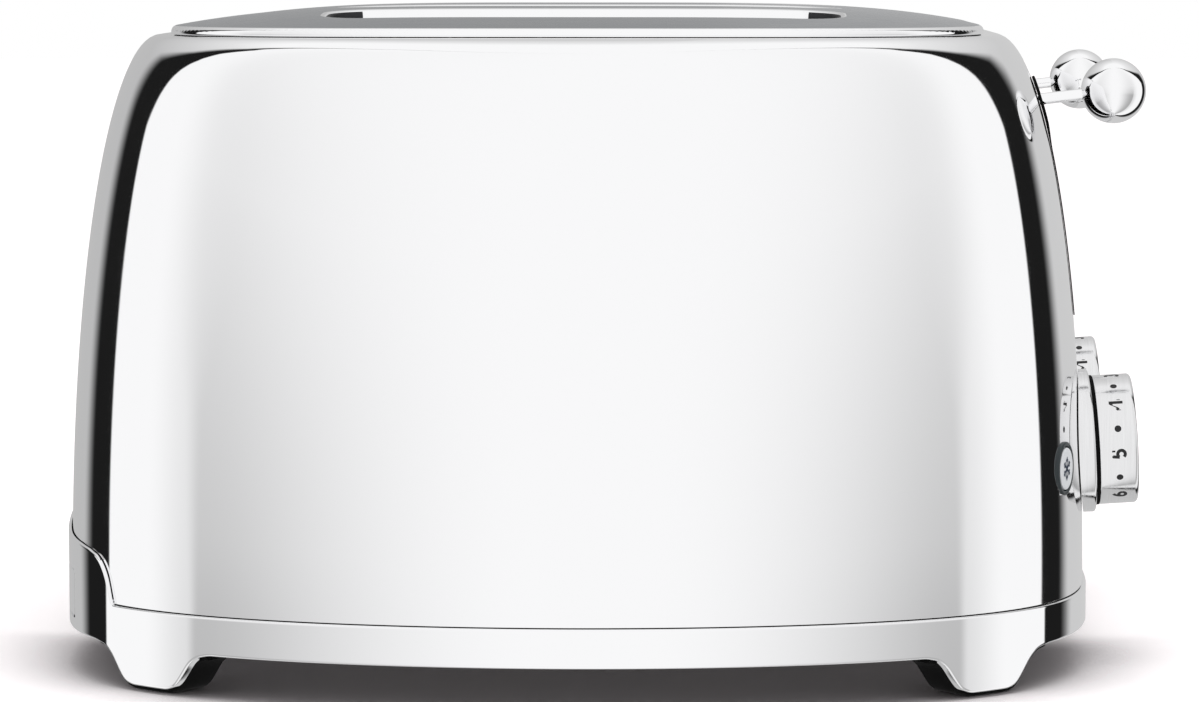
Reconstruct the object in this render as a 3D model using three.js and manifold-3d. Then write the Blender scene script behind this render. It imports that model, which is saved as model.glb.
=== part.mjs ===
// Four-slice toaster with two levers, in millimetres, +Z up, lever end at +X
import * as THREE from 'three';
import { mergeVertices } from 'three/addons/utils/BufferGeometryUtils.js';
import Module from 'manifold-3d';

const wasm = await Module();
wasm.setup();

// Rounding of circles and of the body outline
const outlineSegments = 80;
const meridianSteps = 9;
const roundSegments = 16;
const wireSegments = 5;
const dialSegments = 40;
const ballSegments = 20;
const buttonSegments = 20;

// Clearances, one overrun for every cut and one overlap for every join
const fitGap = 0.3;
const seatGap = 0.05;
const cutOver = 5;
const joinOver = 2;
const weldGap = 1e-4;

// Body outline: half lengths and corner powers at the base and at the top
const baseHalfX = 159.1;
const baseHalfY = 192;
const basePowerX = 1.91;
const basePowerY = 4.72;
const topHalfX = 130.8;
const topHalfY = 153.7;
const topPowerX = 3.91;
const topPowerY = 4.91;
const farAway = 2 * (baseHalfX + baseHalfY);

// Body wall from its lower edge to its top, and its sheet
const shellBottomZ = 25;
const shellHeight = 169.8;
const shellTopZ = shellBottomZ + shellHeight;
const wallPower = 2.04;
const shellThickness = 1.2;
const shellFlange = 12;

// Crowned top panel
const panelInset = 4;
const panelEdgeHeight = 2.3;
const panelBottomZ = shellTopZ + fitGap;
const panelEdgeZ = panelBottomZ + panelEdgeHeight;
const panelCrown = 6.3;
const crownPower = 4;
const panelSheet = 2;
const panelRimShare = 0.93;
const crownRingShares = [0, 0.3, 0.5, 0.65, 0.78, 0.88, 0.95, 1];

// Bread slots: two to a pair, one pair to a lever
const pairCentreY = 74;
const slotHalfPitch = 31;
const slotLength = 155;
const slotWidth = 34;
const slotCentreX = 3;
const slotCornerR = 12;
const slotCentresY = [-1, 1].flatMap((sign) => {
  const inner = sign * (pairCentreY - slotHalfPitch);
  const outer = sign * (pairCentreY + slotHalfPitch);
  return [Math.min(inner, outer), Math.max(inner, outer)];
});

// Skirt, its four feet and its raised rear part
const skirtProud = 1.2;
const skirtThickness = 3;
const skirtBottomZ = 13.1;
const skirtTopZ = shellBottomZ - fitGap;
const raisedHeight = 20;
const raisedTopZ = shellBottomZ + raisedHeight;
const raisedGap = 0.25;
const raisedFlatInset = 122;
const raisedEndInset = 48.4;
const raisedCurveShares = [
  [0, 1], [0.408, 0.837], [0.707, 0.793], [0.815, 0.759], [0.883, 0.704],
  [0.921, 0.631], [0.948, 0.527], [0.971, 0.389], [0.986, 0.212], [1, 0.064],
];
const footClearance = 1.8;
const footWidth = 38;
const footOuterInset = 15.1;
const footCurveShares = [
  [0, 1], [0.092, 0.926], [0.158, 0.746], [0.21, 0.45], [0.274, 0.123], [0.353, 0],
  [0.658, 0], [0.721, 0.074], [0.774, 0.336], [0.832, 0.68], [0.9, 0.926], [1, 1],
];
const footOuterX = baseHalfX - footOuterInset;
const footInnerX = footOuterX - footWidth;
const plateRise = 0.9;
const plateThickness = 3;
const plateBottomZ = skirtBottomZ + plateRise;
const plateTopZ = plateBottomZ + plateThickness;
const padSpanShares = [0.21, 0.816];
const padDepth = 13;
const padTopZ = plateBottomZ - fitGap;

// Crumb trays on the bottom plate
const trayCentreY = 70;
const trayHalfY = 42;
const trayRearInset = 9.1;
const trayFrontInset = 6;
const trayRise = 1;
const trayHeight = 9.6;
const traySheet = 1.2;
const trayWindowGap = 0.7;
const trayFlapSide = 2.4;
const trayFlapRise = 3.4;
const trayFlapDrop = 0.6;
const trayNeckOverlap = 0.5;
const trayBottomZ = plateTopZ + trayRise;
const trayTopZ = trayBottomZ + trayHeight;
const flapBottomZ = trayBottomZ - trayFlapDrop;
const flapTopZ = trayTopZ + trayFlapRise;
const trayRearX = -(baseHalfX - trayRearInset);

// Toasting chamber: end plates, heating boards and wire guards
const chamberEndGap = 7.5;
const chamberPlateThickness = 1.2;
const chamberRearX = slotCentreX - slotLength / 2 - chamberEndGap;
const chamberFrontX = slotCentreX + slotLength / 2 + chamberEndGap;
const chamberBottomZ = trayTopZ + 2 * plateRise;
const chamberTopGap = 6.8;
const chamberTopZ = shellTopZ - chamberTopGap;
const chamberLegGap = 2;
const heaterOffset = 25;
const heaterThickness = 1;
const heaterLift = 7;
const heaterTopGap = 8;
const heaterTabWidth = 12;
const heaterTabHeight = 6;
const heaterTabInset = 20;
const heaterSideGap = 4;
const chamberHalfY = pairCentreY + slotHalfPitch + heaterOffset + heaterSideGap;
const guardSpread = 14.5;
const guardWire = 1.8;
const guardRise = 21;
const guardTopGap = 0.9;
const guardEndInset = 8;
const guardUprights = 6;
const guardBottomZ = plateTopZ + guardRise;
const guardTopZ = panelBottomZ + guardTopGap;
const heaterBottomZ = guardBottomZ + heaterLift;
const heaterTopZ = chamberTopZ - heaterTopGap;
const trayFrontX = chamberFrontX - trayFrontInset;

// Levers between the top and the dials, and their travel
const dialRise = 43.8;
const dialZ = shellBottomZ + dialRise;
const ballDrop = 17.5;
const ballZ = shellTopZ - ballDrop;
const leverDialGap = 48.5;
const leverTravel = ballZ - dialZ - leverDialGap;
const ballReach = 24;
const ballD = 20.2;
const ballHoleDepth = 4;
const ballHoleGap = 0.05;
const stemD = 3.6;
const stemTiltDeg = 6.5;
const stemBossR = 4.2;
const stemBossLength = 6;
const leverSlotWidth = 6.6;
const leverSlotEnd = 4;
const slotTrimWidth = 1.9;
const slotTrimInside = 0.2;
const slotTrimThickness = 0.65;
const slotTrimGap = 0.1;

// Bread lifts and the carriage that joins two of them
const liftLowestRise = 14;
const liftRestZ = guardBottomZ + liftLowestRise + leverTravel;
const liftBarHeight = 5;
const liftBarThickness = 2;
const liftFingerD = 2;
const liftFingerDrop = 0.5;
const liftFingerHalf = 11;
const liftFingers = 6;
const liftEndGap = 4;
const liftArmHeight = 9;
const liftSlotHalf = 2.4;
const carriageGap = 4.4;
const carriageX = chamberFrontX + chamberPlateThickness / 2 + carriageGap;
const carriageThickness = 2;
const carriageFrontX = carriageX + carriageThickness;
const carriageBarHeight = 13;
const carriageBarEnd = 4;
const carriageBarDrop = 1;
const carriagePlateHalf = 8;
const carriageTopRise = 9.9;
const rodGapX = 6;
const rodX = carriageFrontX + rodGapX;
const rodOffsetY = 13;
const rodD = 5;
const rodTopGap = 5.8;
const rodTopZ = shellTopZ - rodTopGap;
const rodBossHalf = 5.5;
const rodRunningGap = 0.35;
const springTurns = 7;
const springWire = 1.3;
const springMeanR = 4.6;
const springSeatRise = 3;
const springSeatZ = plateTopZ + springSeatRise;
const springStepsPerTurn = 9;
const springWireSides = 5;

// Dials
const dialD = 40.3;
const dialThickness = 12;
const dialTiltDeg = 3.6;
const dialChamfer = 1.2;
const dialBoreD = 6.4;
const dialBoreDepth = 8;
const dialShaftD = 6;
const dialShaftEndGap = 1;
const dialHoleD = 10;
const dialGap = 1.2;
const bushingD = 9.7;
const bezelD = 44.7;
const bezelStand = 3.2;
const potD = 24;
const potLength = 17;
const potWallGap = 6.2;
const dialPointerDepth = 0.5;
const dialPointerWidth = 2;
const dialPointerLength = 13.4;
const dialPointerOffset = 11.9;

// Buttons: offsets from the pair centre, positive towards the corner
const buttonCornerOffset = 45;
const buttonInnerOffset = -33;
const buttonMiddleOffset = -55;
const buttonPlaces = [
  ['corner', buttonCornerOffset],
  ['inner', buttonInnerOffset],
  ['middle', buttonMiddleOffset],
];
const buttonDrop = 4.7;
const buttonZ = dialZ - buttonDrop;
const buttonCapD = 12.8;
const buttonBevel = 0.4;
const buttonRingD = 16.4;
const buttonRingHoleD = 13.6;
const buttonRingProud = 0.5;
const buttonRingGap = 0.1;
const buttonProud = 0.3;
const buttonDepth = 11;
const buttonHoleD = 14.2;

// Control boards and the cord bush
const boardPotGap = 4;
const boardThickness = 1.6;
const boardInnerY = 22;
const boardRodGap = 1.7;
const boardOuterY = rodOffsetY - springMeanR - springWire / 2 - boardRodGap;
const boardTopZ = 95;
const boardPartEdge = 6;
const boardPartDepth = 6;
const boardPartBottomZ = 57;
const boardPartHeight = 18;
const glandRise = 9;
const glandZ = shellBottomZ + glandRise;
const glandD = 11;
const glandFlangeD = 16;
const glandBoreD = 7;
const glandInset = 13.1;
const glandInnerX = -(baseHalfX - glandInset);
const glandOuterX = -(baseHalfX + skirtProud);

const turnDeg = 180 / Math.PI;
const quarterTurn = Math.PI / 2;
const bisectSteps = 50;
const slopeStep = 0.5;

const root = new THREE.Group();
root.name = 'four_slice_toaster';
const assembly = new THREE.Group();
assembly.name = 'body_frame';
root.add(assembly);

// Materials
const materials = {
  polishedSteel: new THREE.MeshStandardMaterial({ color: 0xd8dade, metalness: 1, roughness: 0.08 }),
  satinSteel: new THREE.MeshStandardMaterial({ color: 0xb9bbbd, metalness: 1, roughness: 0.35 }),
  chrome: new THREE.MeshStandardMaterial({ color: 0xe4e6ea, metalness: 1, roughness: 0.05 }),
  plainSteel: new THREE.MeshStandardMaterial({ color: 0x8e9194, metalness: 1, roughness: 0.45 }),
  blackPlastic: new THREE.MeshStandardMaterial({ color: 0x141416, metalness: 0, roughness: 0.5 }),
  whitePlastic: new THREE.MeshStandardMaterial({ color: 0xeceae6, metalness: 0, roughness: 0.4 }),
  mica: new THREE.MeshStandardMaterial({ color: 0xb9a583, metalness: 0, roughness: 0.7 }),
  board: new THREE.MeshStandardMaterial({ color: 0x9c8a52, metalness: 0, roughness: 0.6 }),
  rubber: new THREE.MeshStandardMaterial({ color: 0x18181a, metalness: 0, roughness: 0.9 }),
};

// Turn that takes the Z axis to a direction
function turnTo(direction) {
  const turn = Math.atan2(direction[1], direction[0]);
  const tip = Math.atan2(Math.hypot(direction[0], direction[1]), direction[2]);
  return new THREE.Quaternion().setFromEuler(new THREE.Euler(0, tip, turn, 'ZYX'));
}

// Adds one solid to the object under its own name, moved and turned to its place
function addPart(name, solid, material, point = [0, 0, 0], direction = [0, 0, 1]) {
  const mesh = solid.getMesh();
  const geometry = new THREE.BufferGeometry();
  geometry.setAttribute('position', new THREE.BufferAttribute(new Float32Array(mesh.vertProperties), 3));
  geometry.setIndex(new THREE.BufferAttribute(new Uint32Array(mesh.triVerts), 1));
  geometry.computeVertexNormals();
  const node = new THREE.Mesh(geometry, material.clone());
  node.name = name;
  node.position.set(...point);
  node.quaternion.copy(turnTo(direction));
  assembly.add(node);
}

// Geometry with positions only, its shared points merged and no face left on a single line
function weld(geometry) {
  geometry.deleteAttribute('normal');
  geometry.deleteAttribute('uv');
  const merged = mergeVertices(geometry, weldGap);
  const corners = [...merged.index.array];
  const faces = corners.flatMap((a, i) => (i % 3 === 0 ? [[a, corners[i + 1], corners[i + 2]]] : []));
  merged.setIndex(faces.filter(([a, b, c]) => a !== b && b !== c && c !== a).flat());
  return merged;
}

// Closed geometry as a solid that can be joined and cut
function solidOf(geometry) {
  return new wasm.Manifold(new wasm.Mesh({
    numProp: 3,
    vertProperties: new Float32Array(geometry.attributes.position.array),
    triVerts: new Uint32Array(geometry.index.array),
  }));
}

// Closed solid through a stack of rings with equal point counts
function loft(rings) {
  const n = rings[0].length;
  const points = rings.flat();
  const last = (rings.length - 1) * n;
  const centre = (ring) => ring.reduce((s, p) => s.map((v, i) => v + p[i] / n), [0, 0, 0]);
  points.push(centre(rings[0]), centre(rings[rings.length - 1]));
  const faces = [];
  for (let r = 0; r + 1 < rings.length; r += 1) {
    for (let i = 0; i < n; i += 1) {
      const j = (i + 1) % n;
      const a = r * n + i;
      const b = r * n + j;
      faces.push(a, b, b + n, a, b + n, a + n);
    }
  }
  for (let i = 0; i < n; i += 1) {
    const j = (i + 1) % n;
    faces.push(points.length - 2, j, i, points.length - 1, last + i, last + j);
  }
  const geometry = new THREE.BufferGeometry();
  geometry.setAttribute('position', new THREE.Float32BufferAttribute(points.flat(), 3));
  geometry.setIndex(faces);
  return solidOf(geometry);
}

// Distance from the centre to a rounded outline in one direction
function outlineRadius(angle, halfX, halfY, powerX, powerY) {
  const c = Math.abs(Math.cos(angle));
  const s = Math.abs(Math.sin(angle));
  let low = 0;
  let high = 2 * Math.max(halfX, halfY);
  for (let i = 0; i < bisectSteps; i += 1) {
    const mid = (low + high) / 2;
    const value = Math.pow((mid * c) / halfX, powerX) + Math.pow((mid * s) / halfY, powerY);
    if (value > 1) high = mid;
    else low = mid;
  }
  return (low + high) / 2;
}

const angles = Array.from({ length: outlineSegments }, (_, i) => (2 * Math.PI * i) / outlineSegments);
const baseRadii = angles.map((a) => outlineRadius(a, baseHalfX, baseHalfY, basePowerX, basePowerY));
const topRadii = angles.map((a) => outlineRadius(a, topHalfX, topHalfY, topPowerX, topPowerY));

// One ring of the body, grown outwards by an offset, at a height
function ring(share, offset, z) {
  return angles.map((a, i) => {
    const r = topRadii[i] + (baseRadii[i] - topRadii[i]) * share + offset;
    return [r * Math.cos(a), r * Math.sin(a), z];
  });
}

// Upright prism on the base outline
function basePrism(offset, z0, z1) {
  return loft([ring(1, offset, z0), ring(1, offset, z1)]);
}

// The domed body as a solid block, grown by an offset
function bodyBlock(offset, bottomZ) {
  const rings = [ring(1, offset, bottomZ)];
  for (let k = 0; k <= meridianSteps; k += 1) {
    const angle = (k / meridianSteps) * (Math.PI / 2);
    const out = Math.pow(Math.max(Math.cos(angle), 0), 2 / wallPower);
    const up = Math.pow(Math.max(Math.sin(angle), 0), 2 / wallPower);
    const share = k === meridianSteps ? 0 : out;
    rings.push(ring(share, offset, shellBottomZ + (shellHeight + offset) * up));
  }
  return loft(rings);
}

// Box between two corners
function box(x0, x1, y0, y1, z0, z1) {
  const block = weld(new THREE.BoxGeometry(x1 - x0, y1 - y0, z1 - z0));
  return solidOf(block.translate((x0 + x1) / 2, (y0 + y1) / 2, (z0 + z1) / 2));
}

// Round bar or cone along Z, as a geometry
function barZ(z0, z1, d, segments = roundSegments, endD = d) {
  const bar = weld(new THREE.CylinderGeometry(endD / 2, d / 2, z1 - z0, segments));
  return bar.rotateX(quarterTurn).translate(0, 0, (z0 + z1) / 2);
}

// Piece turned about Z from pairs of radius and height; the profile ends on the axis or on its start
function turned(profile, segments) {
  const points = profile.map(([r, z]) => new THREE.Vector2(r, z));
  return weld(new THREE.LatheGeometry(points, segments).rotateX(quarterTurn));
}

// Rod along X from x0 to x1
function rodX0(x0, x1, y, z, d, segments = roundSegments) {
  return solidOf(barZ(0, x1 - x0, d, segments).rotateY(quarterTurn).translate(x0, y, z));
}

// Rod along Y
function rodY(y0, y1, x, z, d, segments = wireSegments) {
  return solidOf(barZ(0, y1 - y0, d, segments).rotateX(-quarterTurn).translate(x, y0, z));
}

// Rod along Z
function rodZ(z0, z1, x, y, d, segments = roundSegments) {
  return solidOf(barZ(z0, z1, d, segments).translate(x, y, 0));
}

// Solid of a geometry turned so that its Z axis lies along a direction from a point
function aimed(geometry, point, direction) {
  return solidOf(geometry.applyQuaternion(turnTo(direction)).translate(...point));
}

// Slot-shaped prism through the wall at the lever end
function leverSlotPrism(y, grow) {
  const r = leverSlotWidth / 2 + grow;
  const low = leverSlotBottomZ + leverSlotWidth / 2;
  const high = leverSlotTopZ - leverSlotWidth / 2;
  const bar = box(carriageFrontX, farAway, y - r, y + r, low, high);
  const lowEnd = rodX0(carriageFrontX, farAway, y, low, 2 * r);
  return bar.add(lowEnd).add(rodX0(carriageFrontX, farAway, y, high, 2 * r));
}

// Point on the wall at a height and width, and its level outward direction
function wallFrame(y, z) {
  const up = (z - shellBottomZ) / shellHeight;
  const out = Math.pow(1 - Math.pow(up, wallPower), 1 / wallPower);
  const at = (yy) => {
    let low = 0;
    let high = 2 * baseHalfX;
    for (let i = 0; i < bisectSteps; i += 1) {
      const mid = (low + high) / 2;
      const a = Math.atan2(yy, mid);
      const base = outlineRadius(a, baseHalfX, baseHalfY, basePowerX, basePowerY);
      const top = outlineRadius(a, topHalfX, topHalfY, topPowerX, topPowerY);
      if (Math.hypot(mid, yy) > top + (base - top) * out) high = mid;
      else low = mid;
    }
    return (low + high) / 2;
  };
  const x = at(y);
  const slope = (at(y + slopeStep) - at(y - slopeStep)) / (2 * slopeStep);
  const length = Math.hypot(1, slope);
  return { point: [x, y, z], normal: [1 / length, -slope / length, 0] };
}

// Controls placed from the wall they stand on
const stemTilt = stemTiltDeg / turnDeg;
const stemDirection = [Math.cos(stemTilt), 0, Math.sin(stemTilt)];
const ballX = wallFrame(pairCentreY, ballZ).point[0] + ballReach;
const stemWallZ = ballZ - ballReach * Math.tan(stemTilt);
const leverSlotTopZ = stemWallZ + stemD / 2 + leverSlotEnd;
const leverSlotBottomZ = stemWallZ - leverTravel - stemD / 2 - leverSlotEnd;
const dialTilt = dialTiltDeg / turnDeg;
const dialDirection = [Math.cos(dialTilt), 0, Math.sin(dialTilt)];
const dialWallX = wallFrame(pairCentreY, dialZ).point[0];
const dialX = dialWallX + bezelStand + dialGap + dialThickness / 2;
const potFrontX = dialWallX - potWallGap;
const potBack = (potFrontX - dialX) / dialDirection[0];
const boardX = potFrontX - potLength - boardPotGap - boardThickness;

// The stored frame has its origin in the middle of the base, levers and cord bush counted
const frameShiftX = -(glandOuterX + ballX + ballD / 2) / 2;

function alongDial(y, distance) {
  return [dialX + dialDirection[0] * distance, y, dialZ + dialDirection[2] * distance];
}

const sides = [{ name: 'near', sign: -1 }, { name: 'far', sign: 1 }];
const buttonFrames = sides.flatMap((side) => buttonPlaces.map(([place, offset]) => ({
  name: `${side.name}_${place}`,
  ...wallFrame(side.sign * (pairCentreY + offset), buttonZ),
})));

// Window at the rear for a crumb tray, or for its wider flap
function rearWindow(sign, halfY, low, high) {
  const y = sign * trayCentreY;
  const half = halfY + trayWindowGap;
  return box(-farAway, trayRearX + cutOver, y - half, y + half, low - trayWindowGap, high + trayWindowGap);
}

// Body shell
function bodyShell() {
  let shell = bodyBlock(0, shellBottomZ).subtract(bodyBlock(-shellThickness, shellBottomZ - cutOver));
  const openingBelow = ring(0, -shellFlange, shellTopZ - 2 * cutOver);
  shell = shell.subtract(loft([openingBelow, ring(0, -shellFlange, shellTopZ + cutOver)]));
  for (const side of sides) {
    const y = side.sign * pairCentreY;
    shell = shell.subtract(leverSlotPrism(y, 0));
    shell = shell.subtract(rearWindow(side.sign, trayHalfY, trayBottomZ, trayTopZ));
    const hole = barZ(-2 * potD, 0, dialHoleD);
    shell = shell.subtract(aimed(hole, alongDial(y, 0), dialDirection));
  }
  for (const frame of buttonFrames) {
    const hole = barZ(-buttonDepth, buttonDepth, buttonHoleD);
    shell = shell.subtract(aimed(hole, frame.point, frame.normal));
  }
  return shell.subtract(rodX0(-farAway, glandInnerX, 0, glandZ, glandD + 2 * fitGap));
}

// Crowned solid inside the top outline, lowered by a sheet thickness
function crownBlock(rimShare, drop, bottomZ) {
  const at = (share, z) => ring(0, -panelInset, z).map(([x, y, h]) => [x * share, y * share, h]);
  const rings = [at(rimShare, bottomZ)];
  for (let k = crownRingShares.length - 1; k >= 1; k -= 1) {
    const share = crownRingShares[k];
    const z = panelEdgeZ + panelCrown * (1 - Math.pow(share * rimShare, crownPower)) - drop;
    rings.push(at(share * rimShare, z));
  }
  return loft(rings);
}

function slotPrism(y, grow) {
  const x = slotLength / 2 + grow - slotCornerR;
  const side = slotWidth / 2 + grow - slotCornerR;
  const outline = new THREE.Shape();
  outline.absarc(x, side, slotCornerR, 0, quarterTurn);
  outline.absarc(-x, side, slotCornerR, quarterTurn, 2 * quarterTurn);
  outline.absarc(-x, -side, slotCornerR, 2 * quarterTurn, 3 * quarterTurn);
  outline.absarc(x, -side, slotCornerR, 3 * quarterTurn, 4 * quarterTurn);
  const depth = panelEdgeZ + 2 * panelCrown - shellTopZ + cutOver;
  const prism = new THREE.ExtrudeGeometry(outline, {
    depth,
    bevelEnabled: false,
    curveSegments: roundSegments / 4,
  });
  return solidOf(weld(prism).translate(slotCentreX, y, shellTopZ - cutOver));
}

// Top panel
function topPanel() {
  const hollow = crownBlock(panelRimShare, panelSheet, panelBottomZ - cutOver);
  let panel = crownBlock(1, 0, panelBottomZ).subtract(hollow);
  for (const y of slotCentresY) {
    panel = panel.subtract(slotPrism(y, 0));
  }
  return panel;
}

// Prism along Y from an outline in X and Z
function prismY(outline, halfWidth) {
  const flat = new THREE.Shape(outline.map(([x, z]) => new THREE.Vector2(x, z)));
  const prism = weld(new THREE.ExtrudeGeometry(flat, { depth: 2 * halfWidth, bevelEnabled: false }));
  return solidOf(prism.translate(0, 0, -halfWidth).rotateX(quarterTurn));
}

// Prism along X from an outline in Y and Z
function prismX(outline, x0, x1) {
  const flat = new THREE.Shape(outline.map(([y, z]) => new THREE.Vector2(y, z)));
  const prism = weld(new THREE.ExtrudeGeometry(flat, { depth: x1 - x0, bevelEnabled: false }));
  return solidOf(prism.rotateX(quarterTurn).rotateZ(quarterTurn).translate(x0, 0, 0));
}

// Skirt with feet and raised rear part
function baseSkirt() {
  let outer = basePrism(skirtProud, 0, raisedTopZ);
  outer = outer.subtract(basePrism(skirtProud - skirtThickness, -cutOver, skirtTopZ));
  outer = outer.subtract(basePrism(raisedGap, skirtTopZ - raisedGap, raisedTopZ + cutOver));
  const footCurve = footCurveShares.map(([along, up]) => [
    footInnerX + footWidth * along,
    footClearance + (skirtBottomZ - footClearance) * up,
  ]);
  const right = [...footCurve].reverse();
  const left = footCurve.map(([x, z]) => [-x, z]);
  const lower = [[-farAway, -farAway], [farAway, -farAway], [farAway, skirtBottomZ]];
  outer = outer.subtract(prismY([...lower, ...right, ...left, [-farAway, skirtBottomZ]], farAway));
  const flatHalfY = baseHalfY - raisedFlatInset;
  const endHalfY = baseHalfY - raisedEndInset;
  const raisedCurve = raisedCurveShares.map(([along, up]) => [
    flatHalfY + (endHalfY - flatHalfY) * along,
    skirtTopZ + (raisedTopZ - skirtTopZ) * up,
  ]);
  const above = [
    [-farAway, skirtTopZ], [-endHalfY, skirtTopZ],
    ...[...raisedCurve].reverse().map(([y, z]) => [-y, z]),
    ...raisedCurve,
    [endHalfY, skirtTopZ], [farAway, skirtTopZ], [farAway, farAway], [-farAway, farAway],
  ];
  outer = outer.subtract(prismX(above, -farAway, 0));
  outer = outer.subtract(box(0, farAway, -farAway, farAway, skirtTopZ, farAway));
  for (const side of sides) {
    outer = outer.subtract(rearWindow(side.sign, trayHalfY + trayFlapSide, flapBottomZ, flapTopZ));
  }
  return outer.subtract(rodX0(-farAway, glandInnerX, 0, glandZ, glandFlangeD + 2 * fitGap));
}

// Bottom plate inside the skirt
function bottomPlate() {
  const inset = skirtProud - skirtThickness - fitGap;
  return basePrism(inset, plateBottomZ, plateTopZ);
}

// Foot pad behind one chromed foot
function footPad(sx, sy) {
  const inset = skirtProud - skirtThickness - fitGap;
  const hollow = basePrism(inset - padDepth, -cutOver, padTopZ + cutOver);
  const band = basePrism(inset, 0, padTopZ).subtract(hollow);
  const ends = padSpanShares.map((share) => sx * (footInnerX + footWidth * share));
  const y0 = sy > 0 ? 0 : -farAway;
  const y1 = sy > 0 ? farAway : 0;
  return band.intersect(box(Math.min(...ends), Math.max(...ends), y0, y1, 0, padTopZ));
}

// Crumb tray with a curved flap, flush with the skirt round it
function crumbTray(sign) {
  const y = sign * trayCentreY;
  const pan = box(trayRearX, trayFrontX, y - trayHalfY, y + trayHalfY, trayBottomZ, trayTopZ);
  const hollow = box(
    trayRearX + traySheet, trayFrontX - traySheet,
    y - trayHalfY + traySheet, y + trayHalfY - traySheet,
    trayBottomZ + traySheet, trayTopZ + cutOver,
  );
  let flap = basePrism(skirtProud, flapBottomZ, flapTopZ);
  flap = flap.subtract(basePrism(fitGap, flapBottomZ - cutOver, flapTopZ + cutOver));
  const half = trayHalfY + trayFlapSide;
  flap = flap.intersect(box(-farAway, 0, y - half, y + half, 0, farAway));
  const neck = basePrism(fitGap + trayNeckOverlap, trayBottomZ, trayTopZ);
  const neckX = trayRearX + traySheet;
  const neckBox = box(-farAway, neckX, y - trayHalfY, y + trayHalfY, trayBottomZ, trayTopZ);
  return pan.subtract(hollow).add(flap).add(neck.intersect(neckBox));
}

// Wire guard cage for one slot, about the slot's middle line
function breadGuard() {
  const x0 = slotCentreX - slotLength / 2 + guardEndInset;
  const x1 = slotCentreX + slotLength / 2 - guardEndInset;
  const end0 = chamberRearX + chamberPlateThickness / 2 + seatGap;
  const end1 = chamberFrontX - chamberPlateThickness / 2 - seatGap;
  let cage = null;
  const join = (piece) => {
    cage = cage ? cage.add(piece) : piece;
  };
  for (const side of [-1, 1]) {
    const yy = side * guardSpread;
    join(rodX0(x0 - guardWire / 2, x1 + guardWire / 2, yy, guardTopZ, guardWire, wireSegments));
    join(rodX0(end0, end1, yy, guardBottomZ, guardWire, wireSegments));
    for (let i = 0; i < guardUprights; i += 1) {
      const x = x0 + ((x1 - x0) * i) / (guardUprights - 1);
      join(rodZ(guardBottomZ, guardTopZ, x, yy, guardWire, wireSegments));
    }
  }
  for (const x of [x0, x1]) {
    join(rodY(-guardSpread, guardSpread, x, guardBottomZ, guardWire, wireSegments));
  }
  return cage;
}

// Heating board between end plates
function heater() {
  const x0 = chamberRearX + chamberPlateThickness / 2 + seatGap;
  const x1 = chamberFrontX - chamberPlateThickness / 2 - seatGap;
  const t = heaterThickness / 2;
  let board = box(x0, x1, -t, t, heaterBottomZ, heaterTopZ);
  for (const x of [x0 + heaterTabInset, x1 - heaterTabInset - heaterTabWidth]) {
    const low = heaterBottomZ - heaterTabHeight;
    board = board.add(box(x, x + heaterTabWidth, -t, t, low, heaterBottomZ + joinOver));
  }
  return board;
}

// Chamber end plate, with slots for the lift arms at the lever end
function chamberPlate(slotted) {
  const t = chamberPlateThickness / 2;
  const floorZ = plateTopZ + seatGap;
  let plate = box(-t, t, -chamberHalfY, chamberHalfY, chamberBottomZ, chamberTopZ);
  const innerLeg = trayCentreY - trayHalfY - chamberLegGap;
  const outerLeg = trayCentreY + trayHalfY + chamberLegGap;
  const legs = [[-chamberHalfY, -outerLeg], [-innerLeg, innerLeg], [outerLeg, chamberHalfY]];
  for (const [y0, y1] of legs) {
    plate = plate.add(box(-t, t, y0, y1, floorZ, chamberBottomZ + joinOver));
  }
  if (slotted) {
    for (const y of slotCentresY) {
      const low = liftRestZ - liftBarHeight - leverTravel - liftSlotHalf;
      const high = liftRestZ + liftArmHeight;
      const cut = box(-cutOver, cutOver, y - liftSlotHalf, y + liftSlotHalf, low, high);
      plate = plate.subtract(cut);
    }
  }
  return plate;
}

// Bread lift with cross fingers and an arm through the end plate, about the slot's middle line
function breadLift() {
  const x0 = slotCentreX - slotLength / 2 + guardEndInset + liftEndGap;
  const x1 = slotCentreX + slotLength / 2 - guardEndInset - liftEndGap;
  const t = liftBarThickness / 2;
  let lift = box(x0, x1, -t, t, liftRestZ - liftBarHeight, liftRestZ);
  for (let i = 0; i < liftFingers; i += 1) {
    const x = x0 + liftFingerD + ((x1 - x0 - 2 * liftFingerD) * i) / (liftFingers - 1);
    lift = lift.add(rodY(-liftFingerHalf, liftFingerHalf, x, liftRestZ - liftFingerDrop, liftFingerD));
  }
  const armTop = liftRestZ - liftBarHeight + liftArmHeight;
  const armBottom = liftRestZ - liftBarHeight;
  return lift.add(box(x1 - joinOver, carriageX - fitGap, -t, t, armBottom, armTop));
}

// Carriage plate that joins two lifts, with a boss on the guide rod
function leverCarriage(sign) {
  const x1 = carriageFrontX;
  const barZ = liftRestZ - liftBarHeight - carriageBarDrop;
  const stemStartZ = ballZ - (ballX - carriageFrontX) * Math.tan(stemTilt);
  const barHalf = slotHalfPitch + carriageBarEnd;
  let plate = box(carriageX, x1, -barHalf, barHalf, barZ, barZ + carriageBarHeight);
  const topZ = stemStartZ + carriageTopRise;
  plate = plate.add(box(carriageX, x1, -carriagePlateHalf, carriagePlateHalf, barZ, topZ));
  const rodCentreY = sign * rodOffsetY;
  const bossX1 = rodX + rodBossHalf;
  plate = plate.add(box(
    carriageX, bossX1,
    rodCentreY - rodBossHalf, rodCentreY + rodBossHalf,
    barZ, barZ + carriageBarHeight,
  ));
  return plate.subtract(rodZ(0, shellTopZ, rodX, rodCentreY, rodD + 2 * rodRunningGap));
}

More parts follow.
